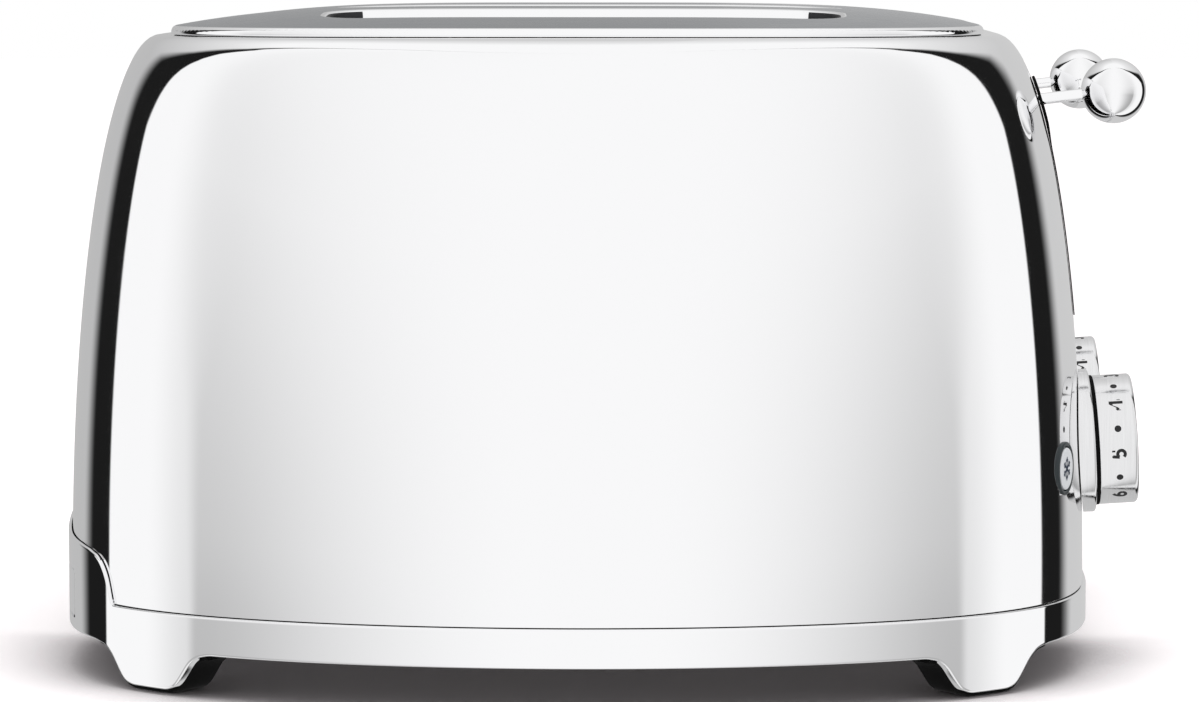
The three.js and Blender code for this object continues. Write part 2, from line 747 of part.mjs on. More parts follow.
// Lever stem with a boss at the carriage
function leverStem() {
  const startX = carriageFrontX + fitGap;
  const startZ = ballZ - (ballX - startX) * Math.tan(stemTilt);
  const length = (ballX - startX) / Math.cos(stemTilt) - ballD / 2 + ballHoleDepth;
  const boss = rodX0(startX, startX + stemBossLength, 0, startZ, 2 * stemBossR);
  const front = box(startX, farAway, -farAway, farAway, -farAway, farAway);
  return boss.add(aimed(barZ(0, length, stemD), [startX, 0, startZ], stemDirection).intersect(front));
}

// Ball with a blind hole for its stem
function ballKnob() {
  const ball = solidOf(weld(new THREE.SphereGeometry(ballD / 2, ballSegments, ballSegments / 2)));
  const bore = barZ(-ballD, -ballD / 2 + ballHoleDepth + fitGap, stemD + 2 * ballHoleGap);
  return ball.subtract(aimed(bore, [0, 0, 0], stemDirection));
}

// Rim round the lever slot, lying on the wall
function leverSlotTrim(sign) {
  const y = sign * pairCentreY;
  const outer = bodyBlock(slotTrimGap + slotTrimThickness, shellBottomZ);
  const skin = outer.subtract(bodyBlock(slotTrimGap, shellBottomZ - cutOver));
  return skin.intersect(leverSlotPrism(y, slotTrimWidth).subtract(leverSlotPrism(y, -slotTrimInside)));
}

// Guide rod and its coil spring
function guideRod() {
  return rodZ(plateTopZ + seatGap, rodTopZ, 0, 0, rodD);
}

function returnSpring() {
  const top = liftRestZ - liftBarHeight - carriageBarDrop - fitGap;
  const low = springSeatZ + springWire / 2;
  const high = top - springWire / 2;
  const steps = springTurns * springStepsPerTurn;
  const rings = [];
  for (let i = 0; i <= steps; i += 1) {
    const t = i / steps;
    const a = 2 * Math.PI * springTurns * t;
    const centre = [Math.cos(a) * springMeanR, Math.sin(a) * springMeanR, low + (high - low) * t];
    const circle = [];
    for (let k = 0; k < springWireSides; k += 1) {
      const b = (2 * Math.PI * k) / springWireSides;
      const out = (Math.cos(b) * springWire) / 2;
      const up = (-Math.sin(b) * springWire) / 2;
      circle.push([centre[0] + Math.cos(a) * out, centre[1] + Math.sin(a) * out, centre[2] + up]);
    }
    rings.push(circle);
  }
  return loft(rings);
}

// Dial knob with a pointer groove on its face
function dialKnob() {
  const r = dialD / 2;
  const body = solidOf(turned([
    [0, dialBoreDepth], [dialBoreD / 2, dialBoreDepth], [dialBoreD / 2, 0], [r, 0],
    [r, dialThickness - dialChamfer], [r - dialChamfer, dialThickness], [0, dialThickness],
  ], dialSegments));
  const half = dialPointerLength / 2;
  return body.subtract(box(
    -dialPointerOffset - half, half - dialPointerOffset,
    -dialPointerWidth / 2, dialPointerWidth / 2,
    dialThickness - dialPointerDepth, dialThickness + cutOver,
  ));
}

// Fixed plate behind a dial, hollowed to the wall
function dialBezel(sign) {
  const front = alongDial(sign * pairCentreY, -dialThickness / 2 - dialGap);
  const disc = aimed(barZ(-potD, 0, bezelD, dialSegments), front, dialDirection);
  const bore = aimed(barZ(-potD - cutOver, cutOver, dialHoleD), front, dialDirection);
  return disc.subtract(bore).subtract(bodyBlock(fitGap, 0));
}

// Potentiometer behind the wall, with the shaft that carries the dial
function potentiometer() {
  const half = dialThickness / 2;
  const bushingEnd = -half - dialGap - potBack;
  const shaftEnd = -half - potBack + dialBoreDepth - dialShaftEndGap;
  return solidOf(turned([
    [0, -potLength], [potD / 2, -potLength], [potD / 2, 0], [bushingD / 2, 0], [bushingD / 2, bushingEnd],
    [dialShaftD / 2, bushingEnd], [dialShaftD / 2, shaftEnd], [0, shaftEnd],
  ], roundSegments));
}

// Button cap and its ring, along the wall's outward direction
function buttonCap() {
  const r = buttonCapD / 2;
  const top = buttonProud + buttonBevel;
  return solidOf(turned([
    [0, -buttonDepth], [r, -buttonDepth], [r, buttonProud], [r - buttonBevel, top], [0, top],
  ], buttonSegments));
}

function buttonRing(frame) {
  const disc = barZ(-buttonDepth, buttonRingProud, buttonRingD, buttonSegments);
  const bore = barZ(-2 * buttonDepth, buttonDepth, buttonRingHoleD, buttonSegments);
  const collar = aimed(disc, frame.point, frame.normal).subtract(aimed(bore, frame.point, frame.normal));
  return collar.subtract(bodyBlock(buttonRingGap, 0));
}

// Control board with one housing on it
function controlBoard(sign) {
  const floorZ = plateTopZ + seatGap;
  const across = (low, high) => [sign * low, sign * high].sort((a, b) => a - b);
  const [y0, y1] = across(-boardInnerY, boardOuterY);
  const board = box(0, boardThickness, y0, y1, floorZ, boardTopZ);
  const [part0, part1] = across(boardPartEdge - boardInnerY, boardOuterY - boardPartEdge);
  const relay = box(
    -boardPartDepth, boardThickness / 2, part0, part1,
    boardPartBottomZ, boardPartBottomZ + boardPartHeight,
  );
  return board.add(relay);
}

// Cord bush at the rear
function cordGland() {
  const length = glandInnerX - glandOuterX;
  const flangeEnd = skirtProud - fitGap;
  const bore = glandBoreD / 2;
  const bush = turned([
    [bore, 0], [bore, length], [glandD / 2, length], [glandD / 2, flangeEnd],
    [glandFlangeD / 2, flangeEnd], [glandFlangeD / 2, 0], [bore, 0],
  ].reverse(), roundSegments);
  return solidOf(bush.rotateY(quarterTurn).translate(glandOuterX, 0, glandZ));
}

// Assembly
assembly.position.x = frameShiftX;
addPart('body_shell', bodyShell(), materials.polishedSteel);
addPart('top_panel', topPanel(), materials.satinSteel);
addPart('base_skirt', baseSkirt(), materials.chrome);
addPart('bottom_plate', bottomPlate(), materials.plainSteel);
const feet = [['rear_near', -1, -1], ['rear_far', -1, 1], ['front_near', 1, -1], ['front_far', 1, 1]];
for (const [name, sx, sy] of feet) {
  addPart(`foot_pad_${name}`, footPad(sx, sy), materials.rubber);
}
const guard = breadGuard();
const lift = breadLift();
for (const [i, y] of slotCentresY.entries()) {
  addPart(`bread_guard_${i + 1}`, guard, materials.plainSteel, [0, y, 0]);
  addPart(`bread_lift_${i + 1}`, lift, materials.plainSteel, [0, y, 0]);
}
const heaterCentresY = [-1, 1].flatMap((sign) => [
  sign * (pairCentreY - slotHalfPitch - heaterOffset),
  sign * pairCentreY,
  sign * (pairCentreY + slotHalfPitch + heaterOffset),
]).sort((a, b) => a - b);
const heaterBoard = heater();
for (const [i, y] of heaterCentresY.entries()) {
  addPart(`heater_${i + 1}`, heaterBoard, materials.mica, [0, y, 0]);
}
addPart('chamber_rear_plate', chamberPlate(false), materials.plainSteel, [chamberRearX, 0, 0]);
addPart('chamber_front_plate', chamberPlate(true), materials.plainSteel, [chamberFrontX, 0, 0]);
const stem = leverStem();
const ball = ballKnob();
const rod = guideRod();
const spring = returnSpring();
const knob = dialKnob();
const pot = potentiometer();
for (const side of sides) {
  const y = side.sign * pairCentreY;
  const rodAt = [rodX, side.sign * (pairCentreY + rodOffsetY), 0];
  addPart(`lever_carriage_${side.name}`, leverCarriage(side.sign), materials.plainSteel, [0, y, 0]);
  addPart(`lever_stem_${side.name}`, stem, materials.chrome, [0, y, 0]);
  addPart(`ball_knob_${side.name}`, ball, materials.chrome, [ballX, y, ballZ]);
  addPart(`lever_slot_trim_${side.name}`, leverSlotTrim(side.sign), materials.chrome);
  addPart(`guide_rod_${side.name}`, rod, materials.plainSteel, rodAt);
  addPart(`return_spring_${side.name}`, spring, materials.plainSteel, rodAt);
  const knobBack = alongDial(y, -dialThickness / 2);
  addPart(`dial_knob_${side.name}`, knob, materials.chrome, knobBack, dialDirection);
  addPart(`dial_bezel_${side.name}`, dialBezel(side.sign), materials.chrome);
  addPart(`potentiometer_${side.name}`, pot, materials.plainSteel, alongDial(y, potBack), dialDirection);
  addPart(`control_board_${side.name}`, controlBoard(side.sign), materials.board, [boardX, y, 0]);
  addPart(`crumb_tray_${side.name}`, crumbTray(side.sign), materials.satinSteel);
}
const cap = buttonCap();
for (const frame of buttonFrames) {
  addPart(`button_cap_${frame.name}`, cap, materials.whitePlastic, frame.point, frame.normal);
  addPart(`button_ring_${frame.name}`, buttonRing(frame), materials.blackPlastic);
}
addPart('cord_gland', cordGland(), materials.rubber);

export default root;
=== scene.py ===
"""Looks of a four-slice toaster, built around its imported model.

Every shape is worked out in millimetres in the body's own frame, whose origin is the middle of the
body's base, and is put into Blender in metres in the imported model's frame.
"""

import logging
import math
from dataclasses import dataclass, field
from enum import Enum
from typing import Any, Sequence

import bpy
import numpy as np
from mathutils import Matrix, Vector
from mathutils.geometry import delaunay_2d_cdt

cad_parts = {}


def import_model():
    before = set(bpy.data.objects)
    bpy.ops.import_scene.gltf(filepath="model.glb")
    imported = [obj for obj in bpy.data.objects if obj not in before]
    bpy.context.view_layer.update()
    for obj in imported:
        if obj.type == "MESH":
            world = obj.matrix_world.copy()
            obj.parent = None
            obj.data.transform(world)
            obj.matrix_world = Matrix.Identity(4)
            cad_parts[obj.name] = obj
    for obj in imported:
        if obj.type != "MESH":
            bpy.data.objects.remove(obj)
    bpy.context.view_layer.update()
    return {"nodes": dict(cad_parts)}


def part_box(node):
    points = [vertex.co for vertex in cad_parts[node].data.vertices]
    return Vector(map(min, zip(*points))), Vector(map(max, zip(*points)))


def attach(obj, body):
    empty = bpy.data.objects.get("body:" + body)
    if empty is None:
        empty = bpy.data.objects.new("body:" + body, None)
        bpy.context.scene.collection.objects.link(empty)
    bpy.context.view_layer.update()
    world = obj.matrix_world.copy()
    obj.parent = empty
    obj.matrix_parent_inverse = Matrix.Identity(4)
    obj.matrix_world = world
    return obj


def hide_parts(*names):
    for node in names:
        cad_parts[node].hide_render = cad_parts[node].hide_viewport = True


log = logging.getLogger("toaster")

MM = 0.001


# Colours and nodes


def linear(code: str) -> tuple[float, float, float, float]:
    """Turns an sRGB hex value into linear red, green, blue and alpha.

    Args:
        code: the colour as "#rrggbb".

    Returns:
        Linear values: v/12.92 below 0.04045, and ((v+0.055)/1.055)^2.4 above.
    """
    parts = np.array([int(code[i:i + 2], 16) / 255 for i in (1, 3, 5)])
    value = np.where(parts <= 0.04045, parts / 12.92, ((parts + 0.055) / 1.055) ** 2.4)
    return (float(value[0]), float(value[1]), float(value[2]), 1.0)


def grey(level: int) -> float:
    """Linear value of an sRGB grey from 0 to 255."""
    return linear(f"#{level:02x}{level:02x}{level:02x}")[0]


def add_node(tree: bpy.types.NodeTree, kind: str, links: dict[Any, Any] | None = None, **settings: Any):
    """Adds a node with its settings and input links.

    Args:
        tree: the node tree that gets the node.
        kind: Blender's name of the node type.
        links: for each input, by name or number, a value or the socket that feeds it.
        settings: properties of the node.

    Returns:
        The new node.
    """
    node = tree.nodes.new(kind)
    for key, value in settings.items():
        setattr(node, key, value)
    for key, value in (links or {}).items():
        if isinstance(value, bpy.types.NodeSocket):
            tree.links.new(value, node.inputs[key])
        else:
            node.inputs[key].default_value = value
    return node


def new_material(name: str) -> tuple[bpy.types.Material, bpy.types.NodeTree, bpy.types.Node]:
    """Makes an empty material with a Principled shader on its output."""
    material = bpy.data.materials.new(name)
    material.use_nodes = True
    tree = material.node_tree
    tree.nodes.clear()
    shader = add_node(tree, "ShaderNodeBsdfPrincipled")
    add_node(tree, "ShaderNodeOutputMaterial", {"Surface": shader.outputs[0]})
    return material, tree, shader


# Finishes


@dataclass(frozen=True)
class BrightMetal:
    """Polished and plated steel: a mirror with faint patches of polishing haze."""

    name: str
    colour: str = "#f8f8f9"
    roughness: float = 0.03
    haze: float = 0.03
    haze_mm: float = 30.0

    def material(self) -> bpy.types.Material:
        """Builds the material."""
        material, tree, shader = new_material(self.name)
        place = add_node(tree, "ShaderNodeTexCoord")
        # Haze: the wheel leaves patches a few centimetres across that scatter a little more
        cloud = add_node(tree, "ShaderNodeTexNoise", {
            "Vector": place.outputs["Object"], "Scale": 1 / (self.haze_mm * MM), "Detail": 3.0,
        })
        rough = add_node(tree, "ShaderNodeMapRange", {
            "Value": cloud.outputs[0], "From Min": 0.35, "From Max": 0.75,
            "To Min": self.roughness, "To Max": self.roughness + self.haze,
        })
        tree.links.new(rough.outputs[0], shader.inputs["Roughness"])
        shader.inputs["Base Color"].default_value = linear(self.colour)
        shader.inputs["Metallic"].default_value = 1.0
        return material


class Grain(Enum):
    """Direction in which a metal was brushed."""

    ALONG_X = (0.02, 1.0, 1.0)
    AROUND_X = (1.0, 0.02, 0.02)
    NONE = (1.0, 1.0, 1.0)


@dataclass(frozen=True)
class BrushedSteel:
    """Brushed stainless steel: fine parallel lines that stretch highlights across them."""

    name: str
    grain: Grain
    colour: str = "#c8c8c9"
    roughness: float = 0.28
    line_mm: float = 0.8
    depth: float = 0.12

    def material(self) -> bpy.types.Material:
        """Builds the material."""
        material, tree, shader = new_material(self.name)
        place = add_node(tree, "ShaderNodeTexCoord")
        stretch = add_node(tree, "ShaderNodeMapping", {
            "Vector": place.outputs["Object"], "Scale": self.grain.value,
        })
        lines = add_node(tree, "ShaderNodeTexNoise", {
            "Vector": stretch.outputs[0], "Scale": 1 / (self.line_mm * MM), "Detail": 2.0,
        })
        rough = add_node(tree, "ShaderNodeMapRange", {
            "Value": lines.outputs[0], "From Min": 0.3, "From Max": 0.7,
            "To Min": self.roughness - 0.06, "To Max": self.roughness + 0.06,
        })
        shade = add_node(tree, "ShaderNodeMapRange", {
            "Value": lines.outputs[0], "From Min": 0.3, "From Max": 0.7, "To Min": 0.93, "To Max": 1.0,
        })
        tint = add_node(tree, "ShaderNodeMix", {
            0: shade.outputs[0], 6: (0.0, 0.0, 0.0, 1.0), 7: linear(self.colour),
        }, data_type="RGBA")
        bump = add_node(tree, "ShaderNodeBump", {
            "Height": lines.outputs[0], "Strength": self.depth, "Distance": 0.05 * MM,
        })
        tree.links.new(tint.outputs[2], shader.inputs["Base Color"])
        tree.links.new(rough.outputs[0], shader.inputs["Roughness"])
        tree.links.new(bump.outputs[0], shader.inputs["Normal"])
        shader.inputs["Metallic"].default_value = 1.0
        return material


@dataclass(frozen=True)
class Moulded:
    """Moulded plastic, rubber or board: a solid colour with a fine moulded texture."""

    name: str
    colour: str
    second: str
    roughness: float = 0.5
    texture_mm: float = 1.2
    depth: float = 0.1
    gloss: float = 0.5

    def material(self) -> bpy.types.Material:
        """Builds the material."""
        material, tree, shader = new_material(self.name)
        place = add_node(tree, "ShaderNodeTexCoord")
        grit = add_node(tree, "ShaderNodeTexNoise", {
            "Vector": place.outputs["Object"], "Scale": 1 / (self.texture_mm * MM), "Detail": 3.0,
        })
        mix = add_node(tree, "ShaderNodeMix", {"Factor": grit.outputs[0]}, data_type="RGBA")
        mix.inputs[6].default_value = linear(self.colour)
        mix.inputs[7].default_value = linear(self.second)
        bump = add_node(tree, "ShaderNodeBump", {
            "Height": grit.outputs[0], "Strength": self.depth, "Distance": 0.05 * MM,
        })
        tree.links.new(mix.outputs[2], shader.inputs["Base Color"])
        tree.links.new(bump.outputs[0], shader.inputs["Normal"])
        shader.inputs["Roughness"].default_value = self.roughness
        shader.inputs["Specular IOR Level"].default_value = self.gloss
        return material


# Meshes


@dataclass
class Bench:
    """Where finished pieces are put: the shift from the body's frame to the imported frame, and the count."""

    shift_x: float
    pieces: list[str] = field(default_factory=list)

    def piece(
        self, name: str, points: np.ndarray, faces: Sequence[Sequence[int]] | np.ndarray,
        material: bpy.types.Material, body: str, slot: str,
        stands_for: Sequence[str] = (), sharp: float | None = 35.0,
    ) -> bpy.types.Object:
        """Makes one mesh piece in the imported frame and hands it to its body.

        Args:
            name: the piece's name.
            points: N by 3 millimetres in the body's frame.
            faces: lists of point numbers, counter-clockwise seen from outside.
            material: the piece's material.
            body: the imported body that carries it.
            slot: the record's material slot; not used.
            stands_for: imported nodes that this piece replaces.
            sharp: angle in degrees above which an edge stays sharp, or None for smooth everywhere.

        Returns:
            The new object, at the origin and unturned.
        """
        mesh = bpy.data.meshes.new(name)
        placed = (np.asarray(points, float) + np.array([self.shift_x, 0, 0])) * MM
        quads = faces.tolist() if isinstance(faces, np.ndarray) else [list(f) for f in faces]
        mesh.from_pydata(placed.tolist(), [], quads)
        mesh.validate()
        mesh.shade_smooth()
        if sharp is not None:
            mesh.set_sharp_from_angle(angle=math.radians(sharp))
        mesh.materials.append(material)
        piece = bpy.data.objects.new(name, mesh)
        bpy.context.scene.collection.objects.link(piece)
        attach(piece, body)
        if stands_for:
            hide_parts(*stands_for)
        self.pieces.append(name)
        log.info("%s: %d faces, rides on %s", name, len(mesh.polygons), body)
        return piece


def grid_faces(columns: int, rows: int, closed_columns: bool, closed_rows: bool = False,
               keep: np.ndarray | None = None) -> np.ndarray:
    """Quads of a lattice whose point number is column times rows plus row.

    Args:
        columns: count of points along the first direction.
        rows: count of points along the second direction.
        closed_columns: whether the last column joins the first.
        closed_rows: whether the last row joins the first.
        keep: which cells stay, as a columns by rows array, or None for all.

    Returns:
        M by 4 point numbers; they run first along the columns, then along the rows.
    """
    i = np.arange(columns if closed_columns else columns - 1)
    j = np.arange(rows if closed_rows else rows - 1)
    ii, jj = np.meshgrid(i, j, indexing="ij")
    i2, j2 = (ii + 1) % columns, (jj + 1) % rows
    quads = np.stack([ii * rows + jj, i2 * rows + jj, i2 * rows + j2, ii * rows + j2], -1)
    if keep is not None:
        quads = quads[keep[: len(i), : len(j)]]
    return quads.reshape(-1, 4)


def compact(points: np.ndarray, faces: np.ndarray) -> tuple[np.ndarray, np.ndarray]:
    """Drops points that no face uses and renumbers the faces."""
    used, inverse = np.unique(faces, return_inverse=True)
    return points[used], inverse.reshape(faces.shape)


def lathe(profile: Sequence[tuple[float, float]], sides: int) -> tuple[np.ndarray, list[list[int]]]:
    """Turns a profile about the local Z axis: point = (r cos a, r sin a, z) for a from 0 to 2 pi.

    Args:
        profile: (radius, height) pairs; a radius of zero at an end closes that end with a pole. The
            surface faces outwards where the heights rise.
        sides: count of steps round the axis.

    Returns:
        Points and faces.
    """
    shape = np.array(profile, float)
    turn = np.linspace(0, 2 * np.pi, sides, endpoint=False)
    low_pole, high_pole = shape[0, 0] < 1e-9, shape[-1, 0] < 1e-9
    body = shape[(1 if low_pole else 0): (len(shape) - 1 if high_pole else len(shape))]
    rows = len(body)
    ring = np.stack([
        body[None, :, 0] * np.cos(turn)[:, None],
        body[None, :, 0] * np.sin(turn)[:, None],
        np.broadcast_to(body[None, :, 1], (sides, rows)),
    ], -1).reshape(-1, 3)
    faces = grid_faces(sides, rows, True).tolist()
    points = [ring]
    first = np.arange(sides) * rows
    after = np.roll(first, -1)
    count = len(ring)
    if low_pole:
        points.append(np.array([[0, 0, shape[0, 1]]]))
        faces += np.stack([np.full(sides, count), after, first], -1).tolist()
        count += 1
    if high_pole:
        points.append(np.array([[0, 0, shape[-1, 1]]]))
        faces += np.stack([np.full(sides, count), first + rows - 1, after + rows - 1], -1).tolist()
    return np.concatenate(points), faces


def closed_lathe(profile: Sequence[tuple[float, float]], sides: int) -> tuple[np.ndarray, np.ndarray]:
    """Turns a closed profile (counter-clockwise in radius and height) into a ring with no ends."""
    shape = np.array(profile, float)
    turn = np.linspace(0, 2 * np.pi, sides, endpoint=False)
    ring = np.stack([
        shape[None, :, 0] * np.cos(turn)[:, None],
        shape[None, :, 0] * np.sin(turn)[:, None],
        np.broadcast_to(shape[None, :, 1], (sides, len(shape))),
    ], -1).reshape(-1, 3)
    return ring, grid_faces(sides, len(shape), True, True)


def aim(points: np.ndarray, origin: Sequence[float], axis: Sequence[float]) -> np.ndarray:
    """Puts local points so that local Z lies along an axis and local Y leans to world up."""
    forward = np.array(axis, float) / np.linalg.norm(axis)
    side = np.cross([0.0, 0.0, 1.0], forward)
    side /= np.linalg.norm(side)
    up = np.cross(forward, side)
    return points @ np.stack([side, up, forward]) + np.array(origin, float)


def arc(centre: tuple[float, float], radius: float, start: float, stop: float,
        steps: int) -> list[tuple[float, float]]:
    """Points on a circle from one angle in degrees to another."""
    turn = np.radians(np.linspace(start, stop, steps))
    return [(centre[0] + radius * float(np.cos(a)), centre[1] + radius * float(np.sin(a))) for a in turn]


def tube(path: np.ndarray, radius: float, sides: int,
         across: Sequence[float]) -> tuple[np.ndarray, list[list[int]]]:
    """Round wire along a path: each ring is the point plus radius times (cos b side + sin b up).

    Args:
        path: K by 3 points.
        radius: half of the wire's thickness.
        sides: points in each ring.
        across: a direction that the path never follows.

    Returns:
        Points and faces, with both ends closed by a fan.
    """
    along = np.gradient(path, axis=0)
    along /= np.linalg.norm(along, axis=1, keepdims=True)
    side = np.cross(along, np.array(across, float))
    side /= np.linalg.norm(side, axis=1, keepdims=True)
    up = np.cross(along, side)
    b = np.linspace(0, 2 * np.pi, sides, endpoint=False)
    rings = path[:, None] + radius * (
        side[:, None] * np.cos(b)[None, :, None] + up[:, None] * np.sin(b)[None, :, None])
    points = np.concatenate([rings.reshape(-1, 3), path[:1], path[-1:]])
    body = grid_faces(len(path), sides, False, True)[:, ::-1]
    n, last = len(path) * sides, (len(path) - 1) * sides
    k = np.arange(sides)
    k2 = (k + 1) % sides
    faces = body.tolist()
    faces += np.stack([np.full(sides, n), k2, k], -1).tolist()
    faces += np.stack([np.full(sides, n + 1), last + k, last + k2], -1).tolist()
    return points, faces


def stroke(path: Sequence[tuple[float, float]], width: float) -> tuple[np.ndarray, list[list[int]]]:
    """Flat ribbon along a path in the plane: each point plus and minus half the width across the path."""
    line = np.array(path, float)
    step = np.diff(line, axis=0)
    step /= np.linalg.norm(step, axis=1, keepdims=True)
    across = np.stack([-step[:, 1], step[:, 0]], -1)
    before, after = np.concatenate([across[:1], across]), np.concatenate([across, across[-1:]])
    middle = before + after
    middle /= np.maximum((middle * after).sum(1, keepdims=True), 0.6)
    middle = np.where((before * after).sum(1, keepdims=True) < -0.2, after, middle)
    points = np.concatenate([line - middle * width / 2, line + middle * width / 2])
    k, n = np.arange(len(line) - 1), len(line)
    quads = np.stack([k, k + 1, k + 1 + n, k + n], -1)
    return np.column_stack([points, np.zeros(len(points))]), quads.tolist()


def join(parts: Sequence[tuple[np.ndarray, Sequence[Sequence[int]]]]) -> tuple[np.ndarray, list[list[int]]]:
    """Puts several point and face sets into one."""
    points, faces, start = [], [], 0
    for some, more in parts:
        points.append(np.asarray(some, float))
        rows = more.tolist() if isinstance(more, np.ndarray) else more
        faces += [[start + k for k in face] for face in rows]
        start += len(some)
    return np.concatenate(points), faces


def block(low: Sequence[float], high: Sequence[float]) -> tuple[np.ndarray, list[list[int]]]:
    """Eight corners and six faces between two opposite corners."""
    xs = np.array([low, high], float)
    pick = np.array([[0, 0, 0], [1, 0, 0], [1, 1, 0], [0, 1, 0], [0, 0, 1], [1, 0, 1], [1, 1, 1], [0, 1, 1]])
    points = np.stack([xs[pick[:, k], k] for k in range(3)], -1)
    return points, [[3, 2, 1, 0], [4, 5, 6, 7], [0, 1, 5, 4], [1, 2, 6, 5], [2, 3, 7, 6], [3, 0, 4, 7]]


def smooth(value: np.ndarray, low: float, high: float) -> np.ndarray:
    """Rises from 0 at low to 1 at high as 3 t^2 - 2 t^3."""
    t = np.clip((value - low) / (high - low), 0, 1)
    return t * t * (3 - 2 * t)


# The body's form


@dataclass(frozen=True)
class BodyForm:
    """The body's outline at its base and at its top, and the wall between them, in millimetres."""

    base_x: float = 159.1
    base_y: float = 192.0
    base_power_x: float = 1.91
    base_power_y: float = 4.72
    top_x: float = 130.8
    top_y: float = 153.7
    top_power_x: float = 3.91
    top_power_y: float = 4.91
    bottom: float = 25.0
    height: float = 169.8
    power: float = 2.04

    @staticmethod
    def outline(turn: np.ndarray, x: float, y: float, power_x: float, power_y: float) -> np.ndarray:
        """Radius r of (r |cos a| / x)^power_x + (r |sin a| / y)^power_y = 1, found by halving."""
        c, s = np.abs(np.cos(turn)), np.abs(np.sin(turn))
        low, high = np.zeros_like(turn), np.full_like(turn, 2 * max(x, y))
        for _ in range(44):
            middle = (low + high) / 2
            out = (middle * c / x) ** power_x + (middle * s / y) ** power_y > 1
            high, low = np.where(out, middle, high), np.where(out, low, middle)
        return (low + high) / 2

    def base(self, turn: np.ndarray) -> np.ndarray:
        """Outline radius at the base."""
        return self.outline(turn, self.base_x, self.base_y, self.base_power_x, self.base_power_y)

    def top(self, turn: np.ndarray) -> np.ndarray:
        """Outline radius at the top."""
        return self.outline(turn, self.top_x, self.top_y, self.top_power_x, self.top_power_y)

    def share(self, z: np.ndarray) -> np.ndarray:
        """How far out the wall is at a height, 1 at the base and 0 at the top: (1 - up^p)^(1/p)."""
        up = np.clip((np.asarray(z, float) - self.bottom) / self.height, 0, 1)
        return (1 - up ** self.power) ** (1 / self.power)

    def wall_x(self, y: np.ndarray, z: np.ndarray) -> np.ndarray:
        """Half length in X of the wall at a width and height, found by halving.

        Args:
            y: widths.
            z: heights, at least the wall's lower edge.

        Returns:
            Positive X of the wall at each point.
        """
        y, z = np.broadcast_arrays(np.asarray(y, float), np.asarray(z, float))
        out = self.share(z)
        low, high = np.zeros(y.shape), np.full(y.shape, 2 * self.base_x)
        for _ in range(40):
            middle = (low + high) / 2
            turn = np.arctan2(y, middle)
            top = self.top(turn)
            beyond = np.hypot(middle, y) > top + (self.base(turn) - top) * out
            high, low = np.where(beyond, middle, high), np.where(beyond, low, middle)
        return (low + high) / 2

    def wall_frame(self, y: float, z: float) -> tuple[np.ndarray, np.ndarray]:
        """Point on the wall at the lever end, and its level outward direction."""
        x = self.wall_x(np.array([y - 0.5, y, y + 0.5]), np.array([z, z, z]))
        normal = np.array([1.0, -(x[2] - x[0]), 0.0])
        return np.array([x[1], y, z]), normal / np.linalg.norm(normal)

    def spaced_turns(self, gaps: Sequence[tuple[float, Any]]) -> np.ndarray:
        """Angles whose spacing along the base outline follows a rule.

        Args:
            gaps: pairs of a spacing in millimetres and a function of x and y that says where it holds;
                a later pair wins.

        Returns:
            Rising angles over one turn.
        """
        fine = np.linspace(-np.pi, np.pi, 8001)
        r = self.base(fine)
        x, y = r * np.cos(fine), r * np.sin(fine)
        gap = np.zeros_like(fine)
        for size, holds in gaps:
            gap = np.where(holds(x, y), size, gap)
        step = np.hypot(np.diff(x), np.diff(y)) / ((gap[1:] + gap[:-1]) / 2)
        total = np.concatenate([[0], np.cumsum(step)])
        count = int(round(total[-1]))
        return np.interp(np.arange(count) * total[-1] / count, total, fine)


